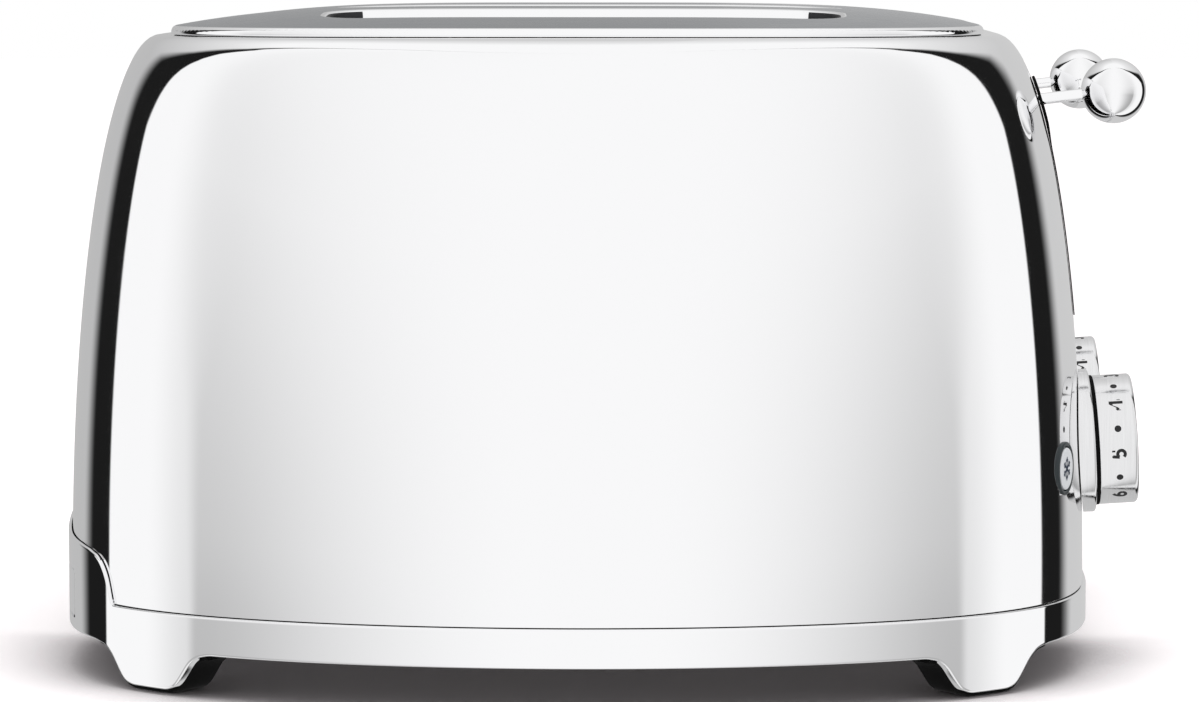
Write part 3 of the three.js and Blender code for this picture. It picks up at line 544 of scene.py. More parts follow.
@dataclass(frozen=True)
class Opening:
    """A hole with rounded corners through a wall, seen square on."""

    centre: tuple[float, float, float]
    facing: tuple[float, float, float]
    half_width: float
    half_height: float
    corner: float

    def cut(self, grid: np.ndarray, keep: np.ndarray) -> None:
        """Cuts the hole into a lattice that is closed along its first direction.

        A point's distance to the hole's edge is that of a rounded rectangle. Points inside that share a
        cell with one outside slide along the wall onto the edge, and so do points that lie just outside
        it. Cells with no point left outside go.

        Args:
            grid: columns by rows by 3 points, changed in place.
            keep: columns by rows array of the cells that stay, changed in place.
        """
        n = np.array(self.facing, float)
        n /= np.linalg.norm(n)
        u = np.cross([0.0, 0.0, 1.0], n)
        v = np.array([0.0, 0.0, 1.0])
        off = grid - np.array(self.centre)
        pu, pv = off @ u, off @ v
        qu, qv = np.abs(pu) - (self.half_width - self.corner), np.abs(pv) - (self.half_height - self.corner)
        corner = (qu > 0) & (qv > 0)
        distance = np.hypot(np.maximum(qu, 0), np.maximum(qv, 0)) + np.minimum(np.maximum(qu, qv), 0)
        distance -= self.corner
        size = np.maximum(np.hypot(qu, qv), 1e-9)
        gu = np.where(corner, qu / size, np.where(qu > qv, 1.0, 0.0)) * np.sign(pu)
        gv = np.where(corner, qv / size, np.where(qu > qv, 0.0, 1.0)) * np.sign(pv)
        front = grid @ n > 0
        inside = front & (distance < 0)
        step_i = (np.roll(grid, -1, 0) - np.roll(grid, 1, 0)) / 2
        step_j = np.gradient(grid, axis=1)
        a, b, c, d = step_i @ u, step_j @ u, step_i @ v, step_j @ v
        cell = np.minimum(np.linalg.norm(step_i, axis=-1), np.linalg.norm(step_j, axis=-1))
        outside = ~inside
        near = np.zeros_like(inside)
        for di in (-1, 0, 1):
            shifted = np.roll(outside, di, 0)
            near |= shifted
            near[:, 1:] |= shifted[:, :-1]
            near[:, :-1] |= shifted[:, 1:]
        move = (inside & near) | (front & outside & (distance < 0.3 * cell))
        det = a * d - b * c
        det = np.where(np.abs(det) < 1e-9, 1e-9, det)
        du, dv = -distance * gu, -distance * gv
        along, up = (du * d - dv * b) / det, (dv * a - du * c) / det
        grid += np.where(move[..., None], along[..., None] * step_i + up[..., None] * step_j, 0)
        free = outside & ~move
        any_free = free | np.roll(free, -1, 0)
        cells = any_free.copy()
        cells[:, :-1] |= any_free[:, 1:]
        keep &= cells


# Sub-assemblies


@dataclass
class Controls:
    """Where levers, dials and buttons stand on the lever end."""

    form: BodyForm
    pair_y: float = 74.0
    ball_z: float = 177.3
    ball_reach: float = 24.0
    stem_d: float = 3.6
    stem_tilt: float = 6.5
    travel: float = 60.0
    slot_width: float = 6.6
    slot_end: float = 4.0
    dial_z: float = 68.8
    dial_tilt: float = 3.6
    dial_depth: float = 12.0
    bezel_stand: float = 3.2
    dial_gap: float = 1.2
    button_z: float = 64.1
    button_offsets: tuple[tuple[str, float], ...] = (("corner", 45.0), ("inner", -33.0), ("middle", -55.0))

    def stem_wall_z(self) -> float:
        """Height at which the stem leaves the wall at rest."""
        return self.ball_z - self.ball_reach * math.tan(math.radians(self.stem_tilt))

    def slot_span(self) -> tuple[float, float]:
        """Lowest and highest point of a lever slot."""
        grow = self.stem_d / 2 + self.slot_end
        return self.stem_wall_z() - self.travel - grow, self.stem_wall_z() + grow

    def ball_x(self) -> float:
        """X of a ball's centre."""
        return float(self.form.wall_frame(self.pair_y, self.ball_z)[0][0]) + self.ball_reach

    def stem_direction(self) -> np.ndarray:
        """Direction of a stem."""
        tilt = math.radians(self.stem_tilt)
        return np.array([math.cos(tilt), 0.0, math.sin(tilt)])

    def dial_direction(self) -> np.ndarray:
        """Direction of a dial's shaft."""
        tilt = math.radians(self.dial_tilt)
        return np.array([math.cos(tilt), 0.0, math.sin(tilt)])

    def dial_centre(self, sign: int) -> np.ndarray:
        """Middle of a dial knob."""
        x = float(self.form.wall_frame(self.pair_y, self.dial_z)[0][0])
        out = self.bezel_stand + self.dial_gap + self.dial_depth / 2
        return np.array([x + out, sign * self.pair_y, self.dial_z])

    def button_frames(self, sign: int) -> list[tuple[str, np.ndarray, np.ndarray]]:
        """Name, point and direction of each button of one side."""
        return [(place, *self.form.wall_frame(sign * (self.pair_y + offset), self.button_z))
                for place, offset in self.button_offsets]


@dataclass
class BodyShell:
    """The bright steel wall, drawn from one sheet, with its flange under the top panel."""

    form: BodyForm
    controls: Controls
    sheet: float = 1.2
    flange: float = 12.0
    rows: int = 92
    edge_rows: tuple[float, float] = (0.06, 0.25)
    overhang: float = 33.0
    dial_hole: float = 10.0
    button_hole: float = 14.2
    tray_y: float = 70.0
    tray_window: tuple[float, float, float] = (42.7, 17.3, 28.3)
    tray_corner: float = 1.0
    gland_hole: tuple[float, float] = (34.0, 5.8)

    def openings(self) -> list[Opening]:
        """Every hole through the wall."""
        low, high = self.controls.slot_span()
        half = self.controls.slot_width / 2
        holes = []
        for sign in (-1, 1):
            y = sign * self.controls.pair_y
            holes.append(Opening((0, y, (low + high) / 2), (1, 0, 0), half, (high - low) / 2, half))
            r = self.dial_hole / 2
            holes.append(Opening((0, y, self.controls.dial_z), (1, 0, 0), r, r, r))
            r = self.button_hole / 2
            for _, point, normal in self.controls.button_frames(sign):
                holes.append(Opening(tuple(point), tuple(normal), r, r, r))
            wide, bottom, top = self.tray_window
            centre = (0, sign * self.tray_y, (bottom + top) / 2)
            holes.append(Opening(centre, (-1, 0, 0), wide, (top - bottom) / 2, self.tray_corner))
        z, r = self.gland_hole
        holes.append(Opening((0, 0, z), (-1, 0, 0), r, r, r))
        return holes

    def build(self, bench: Bench, finish: bpy.types.Material, raw_painted_dark: bpy.types.Material) -> None:
        """Makes the wall.

        A point at angle a and meridian angle t is at radius top + (base - top) cos(t)^(2/p) and height
        bottom + height sin(t)^(2/p), with p the wall's power. The flange goes on inwards at the top.
        """
        form = self.form
        turn = form.spaced_turns([
            (4.2, lambda x, y: np.ones_like(x, bool)),
            (2.6, lambda x, y: (x < 0) & (np.abs(y) < 118)),
            (1.45, lambda x, y: (x > 0) & (np.abs(y) < 131)),
        ])
        fine = np.linspace(0, np.pi / 2, 2001)
        z = form.height * np.sin(fine) ** (2 / form.power)
        out = self.overhang * np.maximum(np.cos(fine), 0) ** (2 / form.power)
        length = np.concatenate([[0], np.cumsum(np.hypot(np.diff(z), np.diff(out)))])
        meridian = np.interp(np.linspace(0, length[-1], self.rows), length, fine)
        # Two rows close to the lower edge keep its corner crisp
        edge = np.arcsin((np.array(self.edge_rows) / form.height) ** (form.power / 2))
        meridian = np.insert(meridian, 1, edge)
        share = np.maximum(np.cos(meridian), 0) ** (2 / form.power)
        share[-1] = 0.0
        level = form.bottom + form.height * np.sin(meridian) ** (2 / form.power)
        top, base = form.top(turn), form.base(turn)
        radius = top[:, None] + (base - top)[:, None] * share[None]
        for inset in (self.flange * 0.15, self.flange * 0.5, self.flange):
            radius = np.concatenate([radius, (top - inset)[:, None]], 1)
        level = np.concatenate([level, np.full(3, form.bottom + form.height)])
        grid = np.stack([
            radius * np.cos(turn)[:, None], radius * np.sin(turn)[:, None],
            np.broadcast_to(level[None], radius.shape),
        ], -1)
        keep = np.ones(grid.shape[:2], bool)
        for opening in self.openings():
            opening.cut(grid, keep)
        faces = grid_faces(grid.shape[0], grid.shape[1], True, keep=keep)
        points, faces = compact(grid.reshape(-1, 3), faces)
        shell = bench.piece("shell_wall", points, faces, finish, "body", "bright_steel", ["body_shell"], None)
        thick = shell.modifiers.new("sheet", "SOLIDIFY")
        thick.thickness = self.sheet * MM
        thick.offset = -1
        thick.use_quality_normals = True
        # The inside is unpolished steel, made dark as painted shade for the dark inside seen through the
        # openings
        shell.data.materials.append(raw_painted_dark)
        thick.material_offset = 1


@dataclass
class TopPanel:
    """The crowned satin top with four rolled slots."""

    form: BodyForm
    inset: float = 4.0
    under: float = 195.1
    edge_top: float = 197.4
    crown: float = 6.24
    crown_power: float = 4.0
    sheet: float = 0.8
    rim_radius: float = 1.6
    slot_length: float = 155.0
    slot_width: float = 34.0
    slot_x: float = 3.0
    slot_corner: float = 12.0
    slot_ys: tuple[float, ...] = (-105.0, -43.0, 43.0, 105.0)
    lip_radius: float = 2.4
    lip_drop: float = 3.2
    cell: float = 3.2
    loop_step: float = 2.6
    rim_margin: float = 6.0
    slot_margin: float = 5.4
    # Reach of the painted reflection of the dark inside at the slot ends
    painted_dark_end: float = 9.0
    painted_dark_lip: float = 0.75

    def rim(self, turn: np.ndarray) -> np.ndarray:
        """Outline radius of the panel, which stands a little inside the body's top."""
        return self.form.top(turn) - self.inset

    def crown_z(self, x: np.ndarray, y: np.ndarray) -> np.ndarray:
        """Height of the crown: edge + crown (1 - s^power), with s the share of the panel's outline."""
        s = np.hypot(x, y) / self.rim(np.arctan2(y, x))
        return self.edge_top + self.crown * (1 - np.clip(s, 0, 1) ** self.crown_power)

    def slot_distance(self, x: np.ndarray, y: np.ndarray) -> np.ndarray:
        """Distance to the nearest slot's edge, negative inside, as to a rounded rectangle."""
        best = np.full(np.shape(x), 1e9)
        for centre in self.slot_ys:
            qx = np.abs(x - self.slot_x) - (self.slot_length / 2 - self.slot_corner)
            qy = np.abs(y - centre) - (self.slot_width / 2 - self.slot_corner)
            d = np.hypot(np.maximum(qx, 0), np.maximum(qy, 0)) + np.minimum(np.maximum(qx, qy), 0)
            best = np.minimum(best, d - self.slot_corner)
        return best

    def slot_loop(self, centre: float, grow: float) -> np.ndarray:
        """Closed loop round one slot at a distance outside its edge, counter-clockwise."""
        hx, hy = self.slot_length / 2 - self.slot_corner, self.slot_width / 2 - self.slot_corner
        r = self.slot_corner + grow
        quarter = np.radians(np.arange(0, 90.1, 7.5))
        parts = []
        for k, (sx, sy) in enumerate([(1, 1), (-1, 1), (-1, -1), (1, -1)]):
            a = quarter + k * np.pi / 2
            x, y = self.slot_x + sx * hx + r * np.cos(a), centre + sy * hy + r * np.sin(a)
            parts.append(np.stack([x, y], -1))
            step = 2 * hx if k in (0, 2) else 2 * hy
            count = max(int(step / self.loop_step), 2)
            t = np.linspace(0, 1, count + 1)[1:-1, None]
            way = np.array([-sx * 2 * hx, 0.0]) if k in (0, 2) else np.array([0.0, -sy * 2 * hy])
            parts.append(parts[-1][-1] + t * way)
        return np.concatenate(parts)

    def build(self, bench: Bench, finish: bpy.types.Material, bright: bpy.types.Material,
              raw_painted_dark: bpy.types.Material) -> None:
        """Makes the panel from loops round its rim and its slots and a lattice between them.

        The flat points are joined by a Delaunay triangulation that keeps the slot edges, and each gets the
        crown's height. Within the lip radius R of a slot the surface drops by R - sqrt(R^2 - (R - d)^2).
        """
        turn = np.linspace(-np.pi, np.pi, 420, endpoint=False)
        rim = self.rim(turn)
        flat, height = [], []
        roll = self.rim_radius
        for angle in (0.0, 20.0, 40.0, 60.0, 80.0):
            inset = roll * (1 - math.cos(math.radians(angle)))
            xy = np.stack([(rim - inset) * np.cos(turn), (rim - inset) * np.sin(turn)], -1)
            flat.append(xy)
            height.append(self.crown_z(xy[:, 0], xy[:, 1]) - roll + roll * math.sin(math.radians(angle)))
        for inset in (roll, roll + 1.6, roll + 4.0):
            xy = np.stack([(rim - inset) * np.cos(turn), (rim - inset) * np.sin(turn)], -1)
            flat.append(xy)
            height.append(self.crown_z(xy[:, 0], xy[:, 1]))
        loops = []
        edges = [[k, (k + 1) % len(turn)] for k in range(len(turn))]
        count = sum(len(part) for part in flat)
        for centre in self.slot_ys:
            for grow in (0.0, 0.12, 0.4, 0.8, 1.3, 1.9, 2.4, 3.6):
                xy = self.slot_loop(centre, grow)
                drop = 0.0
                if grow < self.lip_radius:
                    drop = self.lip_radius - math.sqrt(self.lip_radius ** 2 - (self.lip_radius - grow) ** 2)
                flat.append(xy)
                height.append(self.crown_z(xy[:, 0], xy[:, 1]) - drop)
                if grow == 0.0:
                    loops.append((count, len(xy)))
                    edges += [[count + k, count + (k + 1) % len(xy)] for k in range(len(xy))]
                count += len(xy)
        gx, gy = np.meshgrid(np.arange(-self.form.top_x, self.form.top_x, self.cell),
                             np.arange(-self.form.top_y, self.form.top_y, self.cell), indexing="ij")
        gx, gy = gx.ravel(), gy.ravel()
        edge = self.rim(np.arctan2(gy, gx)) - np.hypot(gx, gy)
        pick = (edge > roll + self.rim_margin) & (self.slot_distance(gx, gy) > self.slot_margin)
        flat.append(np.stack([gx[pick], gy[pick]], -1))
        height.append(self.crown_z(gx[pick], gy[pick]))
        points = np.concatenate(flat)
        z = np.concatenate(height)
        found = delaunay_2d_cdt(points.tolist(), edges, [], 0, 1e-6)
        where = np.array([list(p) for p in found[0]])
        faces = np.array(found[2])
        origin = np.array([ids[0] for ids in found[3]])
        solid = np.column_stack([where, z[origin]])
        a, b, c = where[faces[:, 0]], where[faces[:, 1]], where[faces[:, 2]]
        middle = (a + b + c) / 3
        inside = self.slot_distance(middle[:, 0], middle[:, 1]) < 0
        faces = faces[~inside]
        a, b, c = where[faces[:, 0]], where[faces[:, 1]], where[faces[:, 2]]
        turned = np.cross(b - a, c - a) < 0
        faces[turned] = faces[turned][:, ::-1]
        back = np.empty(len(z), int)
        back[origin] = np.arange(len(origin))
        # The rolled rim and the slot lips are polished, the rest is satin
        middle = solid[faces].mean(1)
        shine = self.slot_distance(middle[:, 0], middle[:, 1]) < self.lip_radius
        away = self.rim(np.arctan2(middle[:, 1], middle[:, 0])) - np.hypot(middle[:, 0], middle[:, 1])
        shine |= away < roll
        all_faces = faces.tolist()
        extra = []
        total = len(solid)
        # Walls of the slots go straight down from the lip
        for start, size in loops:
            rim_points = upper = back[np.arange(start, start + size)]
            for drop in (self.lip_drop * 0.5, self.lip_drop):
                lower = total + np.arange(size)
                ring = solid[rim_points].copy()
                ring[:, 2] -= drop
                extra.append(ring)
                total += size
                all_faces += np.stack([upper, np.roll(upper, -1), np.roll(lower, -1), lower], -1).tolist()
                upper = lower
        # The rim goes straight down to the panel's underside
        upper = back[np.arange(len(turn))]
        lower = total + np.arange(len(turn))
        ring = solid[upper].copy()
        ring[:, 2] = self.under
        extra.append(ring)
        all_faces += np.stack([lower, np.roll(lower, -1), np.roll(upper, -1), upper], -1).tolist()
        every = np.concatenate([solid] + extra)
        panel = bench.piece("top_panel_sheet", every, all_faces, finish, "body", "satin_steel",
                            ["top_panel"], 50.0)
        panel.data.materials.append(bright)
        panel.data.materials.append(raw_painted_dark)
        polished = np.ones(len(panel.data.polygons), np.int32)
        polished[: len(shine)] = shine
        # Towards the ends of a slot its lip and wall get the dark steel, a painted reflection of the dark
        # inside
        centres = np.array([every[face].mean(0) for face in all_faces])
        away = np.abs(centres[:, 0] - self.slot_x) > self.slot_length / 2 - self.painted_dark_end
        polished[away & (self.slot_distance(centres[:, 0], centres[:, 1]) < self.painted_dark_lip)] = 2
        panel.data.polygons.foreach_set("material_index", polished)
        thick = panel.modifiers.new("sheet", "SOLIDIFY")
        thick.thickness = self.sheet * MM
        thick.offset = -1


@dataclass
class Skirt:
    """The chromed band with four feet and a raised rear part."""

    form: BodyForm
    proud: float = 1.2
    thickness: float = 3.0
    low: float = 13.1
    top: float = 24.7
    raised_top: float = 45.0
    foot_low: float = 1.8
    foot_inner: float = 106.0
    foot_width: float = 38.0
    flat_y: float = 70.0
    end_y: float = 143.6
    raised_gap: float = 0.25
    edge_round: float = 0.6
    tray_y: float = 70.0
    tray_window: tuple[float, float, float] = (45.1, 16.7, 31.7)
    tray_corner: float = 1.0
    gland_hole: tuple[float, float] = (34.0, 8.3)
    foot_soft: float = 0.035
    rear_soft: float = 0.012
    steepest: float = 2.5
    foot_along: tuple[float, ...] = (0, 0.092, 0.158, 0.21, 0.274, 0.353, 0.658, 0.721, 0.774, 0.832, 0.9, 1)
    foot_up: tuple[float, ...] = (1, 0.926, 0.746, 0.45, 0.123, 0, 0, 0.074, 0.336, 0.68, 0.926, 1)
    rear_along: tuple[float, ...] = (0, 0.408, 0.707, 0.815, 0.883, 0.921, 0.948, 0.971, 0.986, 1)
    rear_up: tuple[float, ...] = (1, 0.837, 0.793, 0.759, 0.704, 0.631, 0.527, 0.389, 0.212, 0.0)

    @staticmethod
    def rounded(along: np.ndarray, knots: Sequence[float], values: Sequence[float],
                width: float) -> np.ndarray:
        """Straight lines through the knots, averaged over a short width so that corners round off."""
        shifts = np.linspace(-width, width, 9)
        weight = np.cos(shifts / width * np.pi / 2.2)
        total = sum(w * np.interp(along + s, knots, values) for s, w in zip(shifts, weight))
        return total / weight.sum()

    def edges(self, turn: np.ndarray) -> tuple[np.ndarray, np.ndarray]:
        """Lower and upper edge of the band at each angle."""
        r = self.form.base(turn) + self.proud
        x, y = r * np.cos(turn), r * np.sin(turn)
        along = (np.abs(x) - self.foot_inner) / self.foot_width
        up = self.rounded(along, self.foot_along, self.foot_up, self.foot_soft)
        lower = self.foot_low + (self.low - self.foot_low) * up
        rear = (np.abs(y) - self.flat_y) / (self.end_y - self.flat_y)
        rise = self.rounded(rear, self.rear_along, self.rear_up, self.rear_soft)
        upper = np.where(x < 0, self.top + (self.raised_top - self.top) * rise, self.top)
        return lower, upper

    def build(self, bench: Bench, finish: bpy.types.Material) -> None:
        """Makes the band: outside and inside walls on the base outline, with rounded edges.

        At a distance d from an edge, the outer wall draws in by e - sqrt(e^2 - (e - d)^2), with e the edge
        radius. Where the edge runs steeply, distances along it are stretched by its slope.
        """
        turn = self.form.spaced_turns([
            (4.5, lambda x, y: np.ones_like(x, bool)),
            (2.2, lambda x, y: (x < 0) & (np.abs(y) < 120)),
            (0.7, lambda x, y: (np.abs(x) > 102) & (np.abs(x) < 147) & (np.abs(y) > 100)),
            (0.7, lambda x, y: (x < 0) & (np.abs(y) > 104) & (np.abs(y) < 150)),
        ])
        lower, upper = self.edges(turn)
        r = self.form.base(turn)
        x, y = r * np.cos(turn), r * np.sin(turn)
        run = np.hypot(np.roll(x, -1) - np.roll(x, 1), np.roll(y, -1) - np.roll(y, 1))
        steep_low = np.hypot(1, (np.roll(lower, -1) - np.roll(lower, 1)) / run)
        steep_up = np.hypot(1, (np.roll(upper, -1) - np.roll(upper, 1)) / run)
        e = self.edge_round
        near = e * np.array([0, 0.04, 0.15, 0.32, 0.55, 1.0, 1.3])
        inward = e - np.sqrt(np.maximum(e * e - np.maximum(e - near, 0) ** 2, 0))
        low_rows = lower[:, None] + near[None] * np.minimum(steep_low, self.steepest)[:, None]
        up_rows = upper[:, None] - near[None, ::-1] * np.minimum(steep_up, self.steepest)[:, None]
        t = np.linspace(0, 1, 9)[1:-1]
        mid_rows = low_rows[:, -1:] + (up_rows[:, :1] - low_rows[:, -1:]) * t[None]
        z = np.concatenate([low_rows, mid_rows, up_rows], 1)
        pull = np.concatenate([inward, np.zeros(len(t)), inward[::-1]])
        outer = r[:, None] + self.proud - pull[None]
        z_in = z[:, ::-1]
        inner = np.broadcast_to((r + self.proud - self.thickness)[:, None], z_in.shape).copy()
        # The raised rear part stands just outside the shell, so its inside follows the shell there
        above = np.clip((z_in - (self.top - 0.3)) / 0.3, 0, 1)
        inner += above * (self.raised_gap + self.thickness - self.proud)
        out_grid = np.stack([outer * np.cos(turn)[:, None], outer * np.sin(turn)[:, None], z], -1)
        in_grid = np.stack([inner * np.cos(turn)[:, None], inner * np.sin(turn)[:, None], z_in], -1)
        in_grid = in_grid[:, ::-1]
        keep = np.ones(out_grid.shape[:2], bool)
        wide, bottom, top = self.tray_window
        holes = [
            Opening((0, sign * self.tray_y, (bottom + top) / 2), (-1, 0, 0), wide, (top - bottom) / 2,
                    self.tray_corner)
            for sign in (-1, 1)
        ]
        holes.append(Opening((0, 0, self.gland_hole[0]), (-1, 0, 0), *(self.gland_hole[1],) * 3))
        for hole in holes:
            before = out_grid.copy()
            hole.cut(out_grid, keep)
            in_grid += out_grid - before
        points, faces = two_walls(out_grid, in_grid, keep)
        bench.piece("skirt_band", points, faces, finish, "body", "chromed_band", ["base_skirt"], 40.0)


def two_walls(outer: np.ndarray, inner: np.ndarray, keep: np.ndarray) -> tuple[np.ndarray, np.ndarray]:
    """Closed solid between two lattices that are closed along their first direction.

    Args:
        outer: columns by rows by 3 points of the outside.
        inner: the matching points of the inside.
        keep: which cells stay.

    Returns:
        Points and quads: the outside, the inside turned round, and a rim along every free edge.
    """
    columns, rows = outer.shape[:2]
    count = columns * rows
    cells = keep[:, : rows - 1]
    quads = grid_faces(columns, rows, True).reshape(columns, rows - 1, 4)
    faces = [quads[cells], quads[cells][:, ::-1] + count]
    pad = np.pad(cells, ((0, 0), (1, 1)))
    free = [
        cells & ~pad[:, :-2],                 # below
        cells & ~np.roll(cells, -1, 0),       # next column
        cells & ~pad[:, 2:],                  # above
        cells & ~np.roll(cells, 1, 0),        # previous column
    ]
    for side, open_edge in enumerate(free):
        a = quads[open_edge][:, side]
        b = quads[open_edge][:, (side + 1) % 4]
        faces.append(np.stack([b, a, a + count, b + count], -1))
    points = np.concatenate([outer.reshape(-1, 3), inner.reshape(-1, 3)])
    return compact(points, np.concatenate(faces))


@dataclass
class CrumbTrays:
    """Crumb trays: a folded pan, and a chromed flap that closes the band's window flush."""

    form: BodyForm
    skirt: Skirt
    half: float = 44.4
    flap: tuple[float, float] = (17.4, 31.0)
    flap_thickness: float = 3.0
    flap_edge: float = 0.5
    flap_columns: int = 60
    sheet: float = 1.2
    pan_half: float = 41.4
    pan_end_x: float = -150.0
    pan_z: tuple[float, float] = (17.9, 26.9)
    neck_length: float = 4.5
    neck_half: float = 14.0
    neck_z: tuple[float, float] = (2.0, 5.0)

    def build(self, bench: Bench, bright: bpy.types.Material, plain: bpy.types.Material) -> None:
        """Makes both trays.

        The flap is a piece of the band's own wall between two sides and two heights; its edges draw in by
        e - sqrt(e^2 - (e - d)^2) at a distance d.
        """
        fine = np.linspace(np.pi / 2, 3 * np.pi / 2, 6001)
        ys = self.form.base(fine) * np.sin(fine)
        low, high = self.flap
        e, columns = self.flap_edge, self.flap_columns
        near = e * np.array([0, 0.15, 0.5, 1.0, 1.6])
        inward = np.append(e - np.sqrt(np.maximum(e * e - np.maximum(e - near, 0) ** 2, 0)), np.zeros(4))
        z = np.concatenate([low + near, np.linspace(low + 2, high - 2, 4), high - near[::-1]])
        pull = np.concatenate([inward[:5], np.zeros(4), inward[:5][::-1]])
        for side, sign in (("near", -1), ("far", 1)):
            middle = sign * self.skirt.tray_y
            left, right = middle - self.half, middle + self.half
            y = np.concatenate([left + near, np.linspace(left + 2, right - 2, columns), right - near[::-1]])
            turn = np.interp(-y, -ys, fine)
            across = np.concatenate([inward[:5], np.zeros(columns), inward[:5][::-1]])
            face = self.form.base(turn)[:, None] + self.skirt.proud
            outer = face - np.maximum(pull[None], across[:, None])
            inner = np.broadcast_to(face - self.flap_thickness, outer.shape)
            grids = [np.stack([r * np.cos(turn)[:, None], r * np.sin(turn)[:, None],
                               np.broadcast_to(z[None], r.shape)], -1) for r in (outer, inner)]
            keep = np.ones(outer.shape, bool)
            keep[-1] = False
            points, faces = two_walls(grids[0], grids[1], keep)
            bench.piece(f"tray_{side}_flap", points, faces[:, ::-1], bright, f"tray_{side}", "chromed_band",
                        [f"crumb_tray_{side}"], 40.0)
            _, box_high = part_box(f"crumb_tray_{side}")
            x0, x1 = self.pan_end_x, box_high.x / MM - bench.shift_x
            y0, y1 = middle - self.pan_half, middle + self.pan_half
            z0, z1 = self.pan_z
            s, neck = self.sheet, self.neck_half
            walls = [
                block((x0, y0, z0), (x1, y1, z0 + s)), block((x0, y0, z0), (x0 + s, y1, z1)),
                block((x1 - s, y0, z0), (x1, y1, z1)), block((x0, y0, z0), (x1, y0 + s, z1)),
                block((x0, y1 - s, z0), (x1, y1, z1)),
                block((x0 - self.neck_length, middle - neck, z0 + self.neck_z[0]),
                      (x0 + s, middle + neck, z0 + self.neck_z[1])),
            ]
            points, faces = join(walls)
            bench.piece(f"tray_{side}_pan", points, faces, plain, f"tray_{side}", "chromed_band")


@dataclass
class FootPads:
    """Black rubber feet that back the chromed ones and follow their curve."""

    form: BodyForm
    skirt: Skirt
    inset: float = 2.1
    depth: float = 15.0
    grow: float = 1.8
    top: float = 13.6
    edge: float = 1.0

    def build(self, bench: Bench, finish: bpy.types.Material) -> None:
        """Makes each pad as the foot's own curve, a little larger, carried inwards from the band.

        A column at a share s along the foot runs from the band's lower edge there, less the growth but not
        below the ground, up to the pad's top, and its section has rounded lower edges.
        """
        band = self.skirt
        along = np.linspace(0.02, 0.98, 61)
        xs = band.foot_inner + band.foot_width * along
        up = band.rounded(along, band.foot_along, band.foot_up, band.foot_soft)
        low = np.maximum(band.foot_low + (band.low - band.foot_low) * up - self.grow, 0.0)
        fine = np.linspace(0.2, np.pi / 2, 4000)
        r = self.form.base(fine) - self.inset
        order = np.argsort(r * np.cos(fine))
        turn = np.interp(xs, (r * np.cos(fine))[order], fine[order])
        outer = self.form.base(turn) - self.inset
        e = np.minimum(self.edge, (self.top - low) / 3)[:, None]
        inward = np.concatenate([e, self.depth - e, self.depth - 0.3 * e, np.full_like(e, self.depth),
                                 np.full_like(e, self.depth), 0 * e, 0 * e, 0.3 * e], 1)
        height = np.concatenate([0 * e, 0 * e, 0.3 * e, e, 0 * e, 0 * e, e, 0.3 * e], 1) + low[:, None]
        height[:, 4:6] = self.top
        radius = outer[:, None] - inward
        count, rows = radius.shape
        corners = (("rear_near", -1, -1), ("rear_far", -1, 1), ("front_near", 1, -1), ("front_far", 1, 1))
        for name, sx, sy in corners:
            grid = np.stack([
                sx * radius * np.cos(turn)[:, None], sy * radius * np.sin(turn)[:, None], height,
            ], -1)
            faces = grid_faces(count, rows, False, True).tolist()
            faces.append(list(range(rows))[::-1])
            faces.append([(count - 1) * rows + k for k in range(rows)])
            if sx * sy > 0:
                faces = [face[::-1] for face in faces]
            bench.piece(f"foot_rubber_{name}", grid.reshape(-1, 3), faces, finish, "body", "foot_rubber",
                        [f"foot_pad_{name}"], 30.0)


